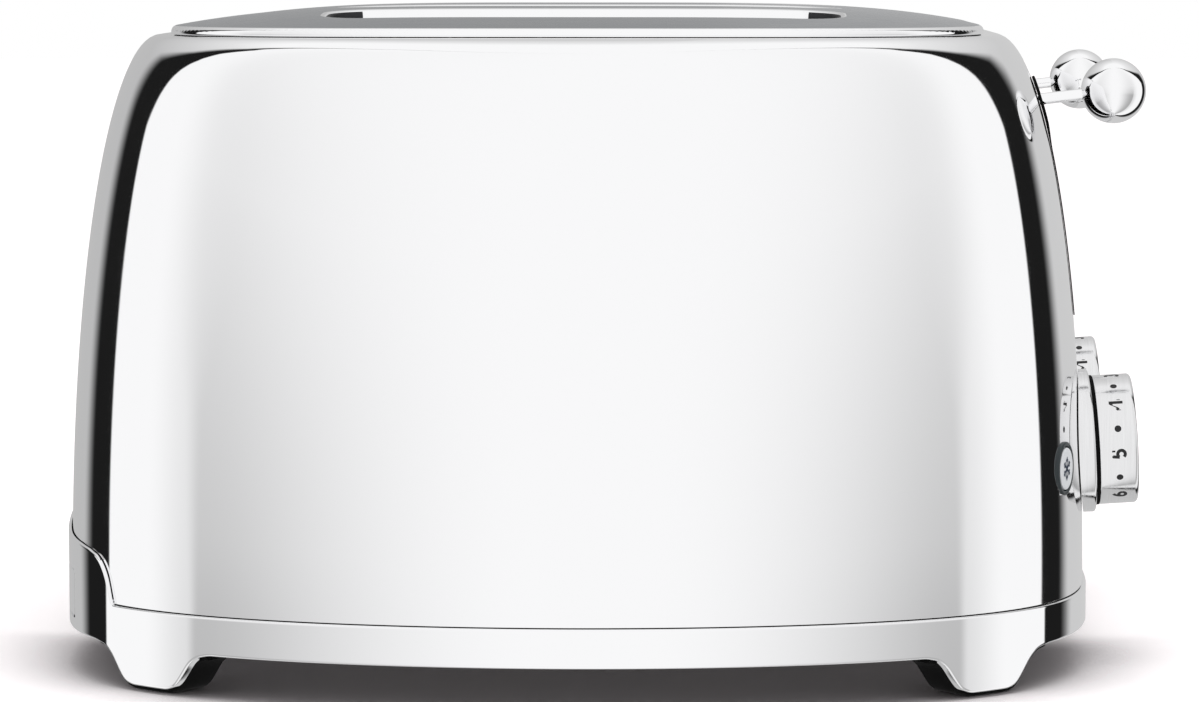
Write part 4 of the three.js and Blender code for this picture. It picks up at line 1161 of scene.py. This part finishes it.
@dataclass
class Levers:
    """Ball, stem and slot rim of each lever; the rim stands highest round the slot's top."""

    form: BodyForm
    controls: Controls
    ball_d: float = 20.2
    bore_gap: float = 0.05
    stem_start_x: float = 95.3
    stem_in_ball: float = 1.2
    shoulder_r: float = 4.2
    shoulder_length: float = 6.0
    bevel: float = 0.2
    rim_width: float = 1.3
    rim_thickness: float = 1.0
    rim_round: float = 0.28
    rim_gap: float = 0.1
    rim_overlap: float = 0.2
    low_share: float = 0.4
    taper: tuple[float, float] = (22.0, 12.0)

    def ball(self, sign: int) -> tuple[np.ndarray, list[list[int]]]:
        """A ball whose profile is a half circle, with a flat of the stem's width where it is bored."""
        r = self.ball_d / 2
        start = math.degrees(math.asin((self.controls.stem_d / 2 + self.bore_gap) / r))
        profile = [(0.0, -r * math.cos(math.radians(start)))]
        profile += arc((0, 0), r, -90 + start, 90, 49)[:-1]
        profile.append((0.0, r))
        points, faces = lathe(profile, 96)
        centre = (self.controls.ball_x(), sign * self.controls.pair_y, self.controls.ball_z)
        return aim(points, centre, self.controls.stem_direction()), faces

    def stem(self, sign: int) -> tuple[np.ndarray, list[list[int]]]:
        """A round stem with a shoulder at the carriage."""
        r = self.controls.stem_d / 2
        centre = np.array([self.controls.ball_x(), sign * self.controls.pair_y, self.controls.ball_z])
        direction = self.controls.stem_direction()
        end = -self.ball_d / 2 + self.stem_in_ball
        start = (self.stem_start_x - centre[0]) / direction[0]
        wide, e, stop = self.shoulder_r, self.bevel, start + self.shoulder_length
        profile = [(0.0, start), (wide - e, start), (wide, start + e), (wide, stop - e), (wide - e, stop)]
        profile += [(r, stop + e), (r, end - e), (r - e, end), (0.0, end)]
        points, faces = lathe(profile, 40)
        return aim(points, centre, direction), faces

    def rim(self, sign: int) -> tuple[np.ndarray, np.ndarray]:
        """A pressed rim round the slot: a low bead carried round the slot's outline on the wall.

        The outline is a stadium; each point of the bead is at a distance outside it and a height above the
        wall, along the wall's own normal.
        """
        low, high = self.controls.slot_span()
        half = self.controls.slot_width / 2
        y0 = sign * self.controls.pair_y
        a = np.radians(np.linspace(0, 180, 33))
        straight = np.linspace(0, 1, 40)[1:-1, None]
        top_c, low_c = np.array([0.0, high - half]), np.array([0.0, low + half])
        ends = np.stack([np.cos(a), np.sin(a)], -1)
        left = np.array([-1.0, 0.0])
        path = np.concatenate([
            top_c + half * ends, top_c + half * left + straight * (low_c - top_c),
            low_c - half * ends, low_c - half * left + straight * (top_c - low_c),
        ])
        count = len(straight)
        out = np.concatenate([ends, np.tile(left, (count, 1)), -ends, np.tile(-left, (count, 1))])
        e, w, t = self.rim_round, self.rim_width, self.rim_thickness
        inner, gap = -self.rim_overlap, self.rim_gap
        bead = [(inner, gap), (w, gap), (w, t - e)] + arc((w - e, t - e), e, 30, 90, 3)
        bead += arc((inner + e, t - e), e, 90, 150, 3) + [(inner, t - e)]
        shape = np.array(bead) + np.array([0.0, gap])
        flat = path[:, None] + out[:, None] * shape[None, :, :1]
        y, z = y0 + flat[..., 0], flat[..., 1]
        stand = self.low_share + (1 - self.low_share) * smooth(z, high - self.taper[0], high - self.taper[1])
        x = self.form.wall_x(y, z)
        h = 0.3
        slope_y = (self.form.wall_x(y + h, z) - self.form.wall_x(y - h, z)) / (2 * h)
        slope_z = (self.form.wall_x(y, z + h) - self.form.wall_x(y, z - h)) / (2 * h)
        normal = np.stack([np.ones_like(x), -slope_y, -slope_z], -1)
        normal /= np.linalg.norm(normal, axis=-1, keepdims=True)
        grid = np.stack([x, y, z], -1) + normal * shape[None, :, 1:] * stand[..., None]
        faces = grid_faces(len(path), len(shape), True, True)[:, ::-1]
        return grid.reshape(-1, 3), faces

    def build(self, bench: Bench, chrome: bpy.types.Material, trim: bpy.types.Material) -> None:
        """Makes both levers."""
        for side, sign in (("near", -1), ("far", 1)):
            body = f"lever_{side}"
            points, faces = self.ball(sign)
            bench.piece(f"lever_ball_{side}", points, faces, chrome, body, "lever_chrome",
                        [f"ball_knob_{side}"])
            points, faces = self.stem(sign)
            bench.piece(f"lever_rod_{side}", points, faces, chrome, body, "lever_chrome",
                        [f"lever_stem_{side}"])
            points, faces = self.rim(sign)
            bench.piece(f"slot_rim_{side}", points, faces, trim, "body", "trim_chrome",
                        [f"lever_slot_trim_{side}"])


@dataclass
class Dials:
    """Numbered dial knobs and the plates behind them."""

    form: BodyForm
    controls: Controls
    dial_d: float = 40.3
    bezel_d: float = 44.7
    numeral_mm: float = 4.3
    numeral_step: float = 45.0
    five_at: float = 188.1
    dot_d: float = 2.1
    stroke: float = 0.23
    bore_r: float = 3.2
    bore_depth: float = 8.0
    back_edge: float = 0.35
    bead: float = 1.2
    sides: int = 128
    plate_round: float = 0.8
    plate_bore: float = 5.0
    plate_depth: float = 2.4
    plate_gap: float = 0.3
    shadow_disc_gap: float = 0.06
    pointer: tuple[float, float, float] = (1.0, 5.0, 16.6)

    def knob(self) -> tuple[np.ndarray, list[list[int]]]:
        """Profile of the knob: a bored back, a plain rim, a turned bead and a dished face."""
        r, half = self.dial_d / 2, self.controls.dial_depth / 2
        bore, e, bead = self.bore_r, self.back_edge, self.bead
        floor = -half + self.bore_depth
        profile = [(0.0, floor), (bore, floor), (bore, -half), (r - bead - 0.2, -half), (r - e, -half)]
        profile += arc((r - e, -half + e), e, -60, 0, 4)
        profile += [(r, half - bead - 0.1)] + arc((r - bead, half - bead), bead, 10, 80, 6)
        profile += [(r - bead - 0.2, half), (r - 2.6, half), (r - 3.0, half - 0.35), (0.0, half - 0.45)]
        return lathe(profile, self.sides)

    def build(self, bench: Bench, steel: bpy.types.Material, ink: bpy.types.Material,
              shadow_disc: bpy.types.Material) -> None:
        """Makes both dials with their plates, black discs of painted shade in the gap behind each knob, and
        numbers.
        """
        direction = self.controls.dial_direction()
        half = self.controls.dial_depth / 2
        for side, sign in (("near", -1), ("far", 1)):
            centre = self.controls.dial_centre(sign)
            points, faces = self.knob()
            bench.piece(f"dial_{side}_knob", aim(points, centre, direction), faces, steel, f"dial_{side}",
                        "dial_finish", [f"dial_knob_{side}"], 30.0)
            self.plate(bench, side, centre, direction, steel)
            # A black disc fills the gap between plate and knob: painted shade that stands for the shadow in
            # that gap
            r, back, bore = self.dial_d / 2 + 0.1, -half - self.shadow_disc_gap, self.plate_bore
            low = -half - self.controls.dial_gap + self.shadow_disc_gap
            points, faces = closed_lathe([(r, low), (r, back), (bore, back), (bore, low)], self.sides)
            bench.piece(f"dial_{side}_gasket", aim(points, centre, direction), faces, shadow_disc, "body",
                        "button_dark")
            self.numbers(bench, side, centre, direction, ink)
            wide, start, stop = self.pointer
            strip, quads = block((-wide, start, half - 0.44), (wide, stop, half - 0.36))
            bench.piece(f"dial_{side}_pointer", aim(strip, centre, direction), quads, ink, f"dial_{side}",
                        "dial_finish")

    def plate(self, bench: Bench, side: str, centre: np.ndarray, direction: np.ndarray,
              finish: bpy.types.Material) -> None:
        """Plate behind a dial; its back edge lies on the wall."""
        r, front = self.bezel_d / 2, -self.controls.dial_depth / 2 - self.controls.dial_gap
        e, bore, deep = self.plate_round, self.plate_bore, front - self.plate_depth
        outline = [(r, deep)] + arc((r - e, front - e), e, 0, 90, 7) + [(bore, front), (bore, deep)]
        points, faces = closed_lathe(outline, self.sides)
        placed = aim(points, centre, direction)
        rows = len(outline)
        back = np.zeros(len(points), bool).reshape(-1, rows)
        back[:, [0, -1]] = True
        back = back.ravel()
        placed[back, 0] = self.form.wall_x(placed[back, 1], placed[back, 2]) + self.plate_gap
        bench.piece(f"dial_{side}_plate", placed, faces, finish, "body", "trim_chrome",
                    [f"dial_bezel_{side}"], 30.0)

    def numbers(self, bench: Bench, side: str, centre: np.ndarray, direction: np.ndarray,
                ink: bpy.types.Material) -> None:
        """Numbers 1 to 6 with a dot between them, printed round the rim.

        A flat glyph point (a, b) goes to the angle -a / r round the rim, and b along the shaft towards the
        wall, so that the numbers read from the lever end.
        """
        r = self.dial_d / 2 + 0.02
        parts = []
        for number in range(1, 7):
            middle = math.radians(self.five_at + (number - 5) * self.numeral_step)
            flat, faces = self.glyph(number)
            flat = flat * self.numeral_mm
            around = middle - flat[:, 0] / r
            parts.append((np.stack([r * np.cos(around), r * np.sin(around), -flat[:, 1]], -1), faces))
            if number < 6:
                t = np.linspace(0, 2 * np.pi, 24, endpoint=False)
                around = middle + math.radians(self.numeral_step / 2) + self.dot_d / 2 * np.cos(t) / r
                dot = np.stack([r * np.cos(around), r * np.sin(around), self.dot_d / 2 * np.sin(t)], -1)
                parts.append((dot, [list(range(24))]))
        points, faces = join(parts)
        bench.piece(f"dial_{side}_numbers", aim(points, centre, direction), faces, ink, f"dial_{side}",
                    "dial_finish")

    def glyph(self, number: int) -> tuple[np.ndarray, list[list[int]]]:
        """Flat mesh of one number, one unit high, drawn with one or two strokes."""
        paths = {
            1: [[(-0.18, 0.26), (0.06, 0.44)], [(0.06, 0.5), (0.06, -0.5)]],
            2: [arc((0.0, 0.2), 0.25, 170, -30, 14) + [(-0.28, -0.42)], [(-0.34, -0.42), (0.34, -0.42)]],
            3: [arc((0.0, 0.21), 0.22, 150, -90, 14), arc((0.0, -0.2), 0.24, 90, -150, 14)],
            4: [[(0.2, -0.5), (0.2, 0.5)], [(0.17, 0.42), (-0.4, -0.17)], [(-0.46, -0.2), (0.46, -0.2)]],
            5: [[(0.28, 0.4), (-0.26, 0.4)], [(-0.18, 0.46), (-0.23, -0.02)],
                arc((0.0, -0.15), 0.27, 140, -140, 18)],
            6: [arc((0.0, -0.18), 0.25, 0, 360, 24), arc((0.42, -0.12), 0.67, 122, 180, 10)],
        }
        return join([stroke(path, self.stroke) for path in paths[number]])


@dataclass
class Buttons:
    """Round buttons with a dark ring, three beside each dial."""

    controls: Controls
    cap_d: float = 12.8
    ring_d: float = 16.4
    ring_hole: float = 13.6
    ring_proud: float = 0.5
    ring_round: float = 0.4
    ring_step: float = 0.5
    ring_depth: float = 3.0
    cap_depth: float = 10.0
    proud: float = 0.3
    bevel: float = 0.4

    def build(self, bench: Bench, white: bpy.types.Material, dark: bpy.types.Material,
              ink: bpy.types.Material) -> None:
        """Makes the six buttons."""
        for side, sign in (("near", -1), ("far", 1)):
            for place, point, normal in self.controls.button_frames(sign):
                name = f"{side}_{place}"
                r = self.cap_d / 2
                deep = -self.cap_depth
                profile = [(0.0, deep), (r - 0.3, deep), (r, deep + 0.3), (r, self.proud)]
                profile += arc((r - self.bevel, self.proud), self.bevel, 15, 80, 5)
                profile += [(r - 1.4, self.proud + self.bevel - 0.04), (0.0, self.proud + self.bevel - 0.15)]
                points, faces = lathe(profile, 64)
                bench.piece(f"button_{name}_face", aim(points, point, normal), faces, white, f"button_{name}",
                            "button_white", [f"button_cap_{name}"], 40.0)
                o, i, top = self.ring_d / 2, self.ring_hole / 2, self.ring_proud
                e, low, deep, step = self.ring_round, -self.ring_step, -self.ring_depth, self.ring_step
                outline = [(o, low), (o, top - e)] + arc((o - e, top - e), e, 20, 90, 5)
                outline += arc((i + e, top - e), e, 90, 170, 5)
                outline += [(i, deep), (i + step, deep), (i + step, low)]
                points, faces = closed_lathe(outline, 72)
                bench.piece(f"button_{name}_ring", aim(points, point, normal), faces, dark, "body",
                            "button_dark", [f"button_ring_{name}"], 35.0)
                points, faces = self.icon(place)
                points[:, 2] += self.proud + self.bevel - 0.03
                bench.piece(f"button_{name}_mark", aim(points, point, normal), faces, ink, f"button_{name}",
                            "button_white")

    def icon(self, place: str) -> tuple[np.ndarray, list[list[int]]]:
        """A plain mark: a flake for thawing, waves for warming and a bar for stopping."""
        parts = []
        if place == "corner":
            for turn in np.radians([90, 30, -30]):
                way = np.array([math.cos(turn), math.sin(turn)])
                parts.append(stroke([tuple(-3.6 * way), tuple(3.6 * way)], 0.75))
                for s in (-1, 1):
                    for lean in (-1, 1):
                        tip = turn + lean * math.radians(48)
                        end = s * (2.0 * way + 1.25 * np.array([math.cos(tip), math.sin(tip)]))
                        parts.append(stroke([tuple(s * 2.0 * way), tuple(end)], 0.7))
        elif place == "inner":
            t = np.linspace(-3.2, 3.2, 25)
            for x in (-1.9, 0.0, 1.9):
                parts.append(stroke(np.stack([x + 0.55 * np.sin(t * 1.5), t], -1), 0.6))
        else:
            for s in (-1, 1):
                parts.append(stroke([(-2.3 * s, -2.3), (2.3 * s, 2.3)], 0.8))
        return join(parts)


@dataclass
class Inside:
    """Wire cages that show through the bread slots."""

    slot_x: float = 3.0
    slot_ys: tuple[float, ...] = (-105.0, -43.0, 43.0, 105.0)
    spread: float = 14.5
    wire: float = 1.8
    low: float = 38.0
    high: float = 196.0
    half: float = 69.5
    ends: tuple[float, float] = (-81.35, 87.35)
    uprights: int = 6

    def build(self, bench: Bench, wire: bpy.types.Material) -> None:
        """Makes one wire cage for each slot."""
        left, right, r = self.slot_x - self.half, self.slot_x + self.half, self.wire / 2
        for number, y in enumerate(self.slot_ys, 1):
            parts = []
            for side in (-1, 1):
                yy = y + side * self.spread
                for x0, x1, z in ((left, right, self.high), (*self.ends, self.low)):
                    path = np.column_stack([np.linspace(x0, x1, 8), np.full(8, yy), np.full(8, z)])
                    parts.append(tube(path, r, 12, (0, 0, 1)))
                for k in range(self.uprights):
                    x = left + 2 * self.half * k / (self.uprights - 1)
                    rise = np.linspace(self.low, self.high, 6)
                    path = np.column_stack([np.full(6, x), np.full(6, yy), rise])
                    parts.append(tube(path, r, 12, (1, 0, 0)))
            for x in (left, right):
                across = np.linspace(y - self.spread, y + self.spread, 6)
                path = np.column_stack([np.full(6, x), across, np.full(6, self.low)])
                parts.append(tube(path, r, 12, (0, 0, 1)))
            points, faces = join(parts)
            bench.piece(f"guard_wires_{number}", points, faces, wire, "body", "wire_steel",
                        [f"bread_guard_{number}"])


@dataclass
class Studio:
    """Camera, floor with a painted shadow near the toaster, and the white tent that the bright metal mirrors.

    The tent is white, dims a little towards the sides, and has one dark flag on each side behind the
    toaster. Directions are given by their bearing from the front and their height, in degrees, and each
    field of pairs gives an edge or a share for some heights.
    """

    camera_mm: tuple[float, float, float] = (48.84, -1563.75, 217.9)
    turn_rad: float = 0.0281
    dip_rad: float = 0.0817
    focal_px: float = 4780.0
    width_px: float = 1199.0
    flag_inner: tuple[tuple[float, float], ...] = (
        (-90, 116), (12, 115), (22, 108.5), (36, 99), (58, 88), (74, 91.5), (90, 96),
    )
    flag_outer: tuple[tuple[float, float], ...] = (
        (-90, 131), (10, 131), (22, 127), (38, 109), (58, 92), (74, 93), (90, 96),
    )
    fade: tuple[tuple[float, float], ...] = ((-90, 12), (20, 13), (40, 9), (60, 8), (76, 3), (90, 1))
    dimness: tuple[tuple[float, float], ...] = (
        (-12, 0.56), (-5, 0.38), (0, 0.32), (6, 0.25), (15, 0.17), (35, 0.12), (90, 0.0),
    )
    step_at: float = 69.0
    valley: tuple[float, float] = (6.0, 66.0)
    valley_end: float = 90.0
    after_step: float = 0.52
    right_shift: float = 3.0
    dark_grey: int = 28
    behind_greys: tuple[int, int] = (190, 206)
    even_light: float = 0.86
    step_width: tuple[tuple[float, float], ...] = ((-8, 2.0), (0, 4.0), (8, 16.0), (90, 24.0))
    behind_lift: tuple[tuple[float, float], ...] = (
        (-90, 0), (15, 0), (38, 0.3), (55, 0.62), (67, 1), (90, 1),
    )
    floor_rings_mm: tuple[float, ...] = (400.0, 900.0, 2000.0, 5000.0, 9000.0)
    floor_white: tuple[float, float, float, float] = (1.34, 1.29, 1.3, 1.0)
    # Painted shadow colour that the floor takes close to the toaster
    floor_shadow: tuple[float, float, float, float] = (0.4, 0.375, 0.385, 1.0)
    shadow_reach_mm: float = 52.0
    shadow_from_mm: tuple[float, float] = (-62.0, -20.0)
    lamp_at: tuple[float, float, float] = (0.3, -0.6, 1.9)
    lamp_size: float = 1.6
    lamp_watts: float = 6.0

    def camera(self, bench: Bench) -> None:
        """Places the camera, pitched down and turned a little, with no shift."""
        data = bpy.data.cameras.new("camera")
        data.sensor_width = 36.0
        data.lens = self.focal_px / self.width_px * 36.0
        made = bpy.data.objects.new("camera", data)
        bpy.context.scene.collection.objects.link(made)
        psi, theta = self.turn_rad, self.dip_rad
        level = math.cos(theta)
        forward = Vector((-math.sin(psi) * level, math.cos(psi) * level, -math.sin(theta)))
        right = forward.cross(Vector((0, 0, 1))).normalized()
        up = right.cross(forward)
        turn = Matrix((right, up, -forward)).transposed().to_4x4()
        place = Vector(self.camera_mm) + Vector((bench.shift_x, 0, 0))
        made.matrix_world = Matrix.Translation(place * MM) @ turn
        bpy.context.scene.camera = made

    @staticmethod
    def curve(tree: bpy.types.NodeTree, value: Any, knots: Sequence[tuple[float, float]],
              scale: float) -> Any:
        """Reads a value off straight lines through knots; returns the socket with the result.

        Args:
            tree: the node tree.
            value: the socket with the input, in degrees from -90 to 90.
            knots: pairs of input and output.
            scale: the largest output, which the ramp stores as 1.

        Returns:
            The output socket.
        """
        place = add_node(tree, "ShaderNodeMapRange", {"Value": value, "From Min": -90.0, "From Max": 90.0})
        ramp = add_node(tree, "ShaderNodeValToRGB", {0: place.outputs[0]})
        stops = ramp.color_ramp.elements
        while len(stops) < len(knots):
            stops.new(0.5)
        for stop, (where, what) in zip(stops, knots):
            stop.position = (where + 90) / 180
            level = what / scale
            stop.color = (level, level, level, 1)
        back = add_node(tree, "ShaderNodeMath", {0: ramp.outputs[0], 1: scale}, operation="MULTIPLY")
        return back.outputs[0]

    def tent(self, tree: bpy.types.NodeTree, direction: Any) -> Any:
        """Brightness of the tent in a direction; returns its socket.

        Bearing = atan2(|x|, -y) and height = asin(z), both in degrees. White is dimmed towards the sides by a
        smooth valley that ends in a step near 69 degrees, turns dark between the flag's edges, and is
        grey behind.
        """
        def calc(operation: str, *values: Any) -> Any:
            """Socket with the result of one sum."""
            return add_node(tree, "ShaderNodeMath", dict(enumerate(values)), operation=operation).outputs[0]

        def ramp(value: Any, low: Any, high: Any, to_low: Any = 0.0, to_high: Any = 1.0) -> Any:
            """Socket that goes smoothly from one value to another between two inputs."""
            return add_node(tree, "ShaderNodeMapRange", {
                "Value": value, "From Min": low, "From Max": high, "To Min": to_low, "To Max": to_high,
            }, interpolation_type="SMOOTHSTEP").outputs[0]

        part = add_node(tree, "ShaderNodeSeparateXYZ", {0: direction})
        x, y, z = part.outputs[0], part.outputs[1], part.outputs[2]
        bearing = calc("DEGREES", calc("ARCTAN2", calc("ABSOLUTE", x), calc("MULTIPLY", y, -1.0)))
        right = calc("GREATER_THAN", x, 0.0)
        bearing = calc("SUBTRACT", bearing, calc("MULTIPLY", right, self.right_shift))
        height = calc("DEGREES", calc("ARCSINE", z))
        dim = self.curve(tree, height, self.dimness, 1.0)
        width = self.curve(tree, height, self.step_width, 30.0)
        valley = ramp(bearing, *self.valley)
        before, beyond = calc("SUBTRACT", self.step_at, width), calc("ADD", self.step_at, width)
        step = ramp(bearing, before, beyond, 1.0, self.after_step)
        after = ramp(bearing, self.valley[1], self.valley_end, 1.0, 0.0)
        depth = calc("MULTIPLY", calc("MULTIPLY", dim, valley), calc("MULTIPLY", step, after))
        front = calc("SUBTRACT", 1.0, depth)
        inner = self.curve(tree, height, self.flag_inner, 180.0)
        outer = self.curve(tree, height, self.flag_outer, 180.0)
        fade = self.curve(tree, height, self.fade, 60.0)
        dark_in = ramp(bearing, calc("SUBTRACT", inner, 0.8), calc("ADD", inner, 0.8))
        light_out = ramp(bearing, outer, calc("ADD", outer, fade))
        left_grey, right_grey = (grey(level) for level in self.behind_greys)
        side = add_node(tree, "ShaderNodeMapRange", {
            "Value": right, "To Min": left_grey, "To Max": right_grey,
        })
        lift = self.curve(tree, height, self.behind_lift, 1.0)
        behind = add_node(tree, "ShaderNodeMix", {0: lift, 2: side.outputs[0], 3: 1.0}, data_type="FLOAT")
        back = add_node(tree, "ShaderNodeMix", {
            0: light_out, 2: grey(self.dark_grey), 3: behind.outputs[0],
        }, data_type="FLOAT")
        total = add_node(tree, "ShaderNodeMix", {0: dark_in, 2: front, 3: back.outputs[0]}, data_type="FLOAT")
        return total.outputs[0]

    def world(self) -> None:
        """White to the camera, the tent to mirrors, and one even light to everything else."""
        made = bpy.data.worlds.new("tent")
        bpy.context.scene.world = made
        made.use_nodes = True
        tree = made.node_tree
        tree.nodes.clear()
        place = add_node(tree, "ShaderNodeTexCoord")
        tent = self.tent(tree, place.outputs["Generated"])
        ray = add_node(tree, "ShaderNodeLightPath")
        mirror = add_node(tree, "ShaderNodeMath", {
            0: ray.outputs["Is Glossy Ray"], 1: ray.outputs["Is Camera Ray"],
        }, operation="SUBTRACT", use_clamp=True)
        level = add_node(tree, "ShaderNodeMix", {
            0: mirror.outputs[0], 2: self.even_light, 3: tent,
        }, data_type="FLOAT")
        level = add_node(tree, "ShaderNodeMix", {
            0: ray.outputs["Is Camera Ray"], 2: level.outputs[0], 3: 1.0,
        }, data_type="FLOAT")
        shade = add_node(tree, "ShaderNodeBackground", {"Strength": level.outputs[0]})
        shade.inputs["Color"].default_value = (1, 1, 1, 1)
        add_node(tree, "ShaderNodeOutputWorld", {"Surface": shade.outputs[0]})

    def floor(self) -> None:
        """A wide floor that clips to white away from the toaster and keeps its shadow, deepened near it by a
        painted shadow colour.

        Mirrors look through it at the tent, whose lower half is the floor's shade.
        """
        sides, ring = 96, np.array(self.floor_rings_mm)
        turn = np.linspace(0, 2 * np.pi, sides, endpoint=False)
        points = np.stack([
            ring[None] * np.cos(turn)[:, None], ring[None] * np.sin(turn)[:, None],
            np.zeros((sides, len(ring))),
        ], -1).reshape(-1, 3) * MM
        points = np.concatenate([points, [[0, 0, 0]]])
        faces = grid_faces(sides, len(ring), True)[:, ::-1].tolist()
        first = np.arange(sides) * len(ring)
        faces += np.stack([np.full(sides, len(points) - 1), first, np.roll(first, -1)], -1).tolist()
        mesh = bpy.data.meshes.new("floor")
        mesh.from_pydata(points.tolist(), [], faces)
        mesh.validate()
        material, tree, shader = new_material("white_floor")
        tree.nodes.remove(shader)
        ray = add_node(tree, "ShaderNodeLightPath")
        # An ambient occlusion mask mixes a painted shadow colour into the floor, densest close to the toaster
        near = add_node(tree, "ShaderNodeAmbientOcclusion", {
            "Distance": self.shadow_reach_mm * MM,
        }, samples=6)
        depth = add_node(tree, "ShaderNodeMapRange", {
            "Value": near.outputs["AO"], "From Min": 0.3, "From Max": 0.92,
        }, interpolation_type="SMOOTHSTEP")
        # The painted shadow covers only the front half, which is in view beside the toaster; behind it the
        # floor stays white
        place = add_node(tree, "ShaderNodeTexCoord")
        part = add_node(tree, "ShaderNodeSeparateXYZ", {0: place.outputs["Object"]})
        back, front = (place_mm * MM for place_mm in self.shadow_from_mm)
        behind = add_node(tree, "ShaderNodeMapRange", {
            "Value": part.outputs[1], "From Min": back, "From Max": front,
        }, interpolation_type="SMOOTHSTEP")
        depth = add_node(tree, "ShaderNodeMath", {
            0: depth.outputs[0], 1: behind.outputs[0],
        }, operation="MAXIMUM")
        shown = add_node(tree, "ShaderNodeMix", {
            0: depth.outputs[0], 6: self.floor_shadow, 7: self.floor_white,
        }, data_type="RGBA")
        colour = add_node(tree, "ShaderNodeMix", {
            0: ray.outputs["Is Camera Ray"], 6: (0.8, 0.8, 0.8, 1.0), 7: shown.outputs[2],
        }, data_type="RGBA")
        diffuse = add_node(tree, "ShaderNodeBsdfDiffuse", {"Color": colour.outputs[2]})
        through = add_node(tree, "ShaderNodeBsdfTransparent")
        mixed = add_node(tree, "ShaderNodeMixShader", {
            0: ray.outputs["Is Glossy Ray"], 1: diffuse.outputs[0], 2: through.outputs[0],
        })
        out = next(n for n in tree.nodes if n.type == "OUTPUT_MATERIAL")
        tree.links.new(mixed.outputs[0], out.inputs["Surface"])
        mesh.materials.append(material)
        made = bpy.data.objects.new("floor", mesh)
        bpy.context.scene.collection.objects.link(made)

    @staticmethod
    def view() -> None:
        """Shows colours as they are written."""
        bpy.context.scene.view_settings.view_transform = "Standard"

    def lamp(self) -> None:
        """One large soft lamp above and in front, which adds what the even light leaves out."""
        data = bpy.data.lights.new("soft_lamp", "AREA")
        data.shape = "DISK"
        data.size = self.lamp_size
        data.energy = self.lamp_watts
        made = bpy.data.objects.new("soft_lamp", data)
        made.location = self.lamp_at
        made.rotation_euler = Vector(self.lamp_at).to_track_quat("Z", "Y").to_euler()
        made.visible_glossy = False
        bpy.context.scene.collection.objects.link(made)


def dress(frame: dict[str, Any], finishes: dict[str, bpy.types.Material]) -> None:
    """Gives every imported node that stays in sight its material."""
    rules = {
        "bottom_plate": "plain", "chamber": "plain", "lever_carriage": "plain", "guide_rod": "plain",
        "return_spring": "wire", "bread_lift": "wire", "heater": "mica", "potentiometer": "plain",
        "control_board": "board", "crumb_tray": "satin", "cord_gland": "rubber",
    }
    for name, node in frame["nodes"].items():
        kind = next((what for start, what in rules.items() if name.startswith(start)), "plain")
        node.data.materials.clear()
        node.data.materials.append(finishes[kind])


def main() -> None:
    """Builds the toaster's looks in order."""
    logging.basicConfig(level=logging.INFO, format="%(name)s: %(message)s")
    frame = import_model()
    low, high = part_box("bottom_plate")
    bench = Bench(shift_x=(low.x + high.x) / 2 / MM)
    studio = Studio()
    studio.view()
    studio.camera(bench)
    studio.world()
    studio.floor()
    studio.lamp()
    chrome = BrightMetal("polished_stainless_steel").material()
    band = BrightMetal("chrome_plated_band", roughness=0.02, haze=0.02).material()
    ball = BrightMetal("chrome_plated_ball", roughness=0.02, haze=0.02).material()
    satin = BrushedSteel("satin_stainless_steel", Grain.ALONG_X, colour="#94979b", roughness=0.26,
                         depth=0.03).material()
    turned = BrushedSteel("turned_steel", Grain.AROUND_X, colour="#ececed", roughness=0.12, line_mm=0.3,
                          depth=0.02).material()
    rubber = Moulded("black_rubber", "#090909", "#0e0e0e", 0.85, gloss=0.1).material()
    finishes = {
        "plain": BrushedSteel("plain_steel", Grain.NONE, colour="#9a9a9a", roughness=0.4).material(),
        "wire": BrushedSteel("steel_wire", Grain.NONE, colour="#b4b4b2", roughness=0.3).material(),
        "mica": Moulded("mica_board", "#b9a583", "#a8926c", 0.6).material(),
        "board": Moulded("circuit_board", "#2f5a35", "#2a4f30", 0.4).material(),
        "satin": satin,
        "rubber": rubber,
    }
    dress(frame, finishes)
    form = BodyForm()
    controls = Controls(form)
    skirt = Skirt(form)
    # Unpolished steel made dark: painted shade that stands for the dark inside of the body
    raw_painted_dark = BrushedSteel("unpolished_steel_painted_dark", Grain.NONE, colour="#3c3c3e", roughness=0.5).material()
    BodyShell(form, controls).build(bench, chrome, raw_painted_dark)
    TopPanel(form).build(bench, satin, chrome, raw_painted_dark)
    skirt.build(bench, band)
    CrumbTrays(form, skirt).build(bench, band, finishes["plain"])
    FootPads(form, skirt).build(bench, rubber)
    Levers(form, controls).build(bench, ball, rubber)
    ink = Moulded("black_print", "#101012", "#141416", 0.5).material()
    Dials(form, controls).build(bench, turned, ink, rubber)
    white = Moulded("white_button_plastic", "#eef0f2", "#e8eaee", 0.3).material()
    dark = Moulded("dark_button_ring", "#1d2a2e", "#182326", 0.3).material()
    mark = Moulded("blue_print", "#26344a", "#2a3850", 0.5).material()
    Buttons(controls).build(bench, white, dark, mark)
    Inside().build(bench, finishes["wire"])
    log.info("%d pieces", len(bench.pieces))


if __name__ == "__main__":
    main()
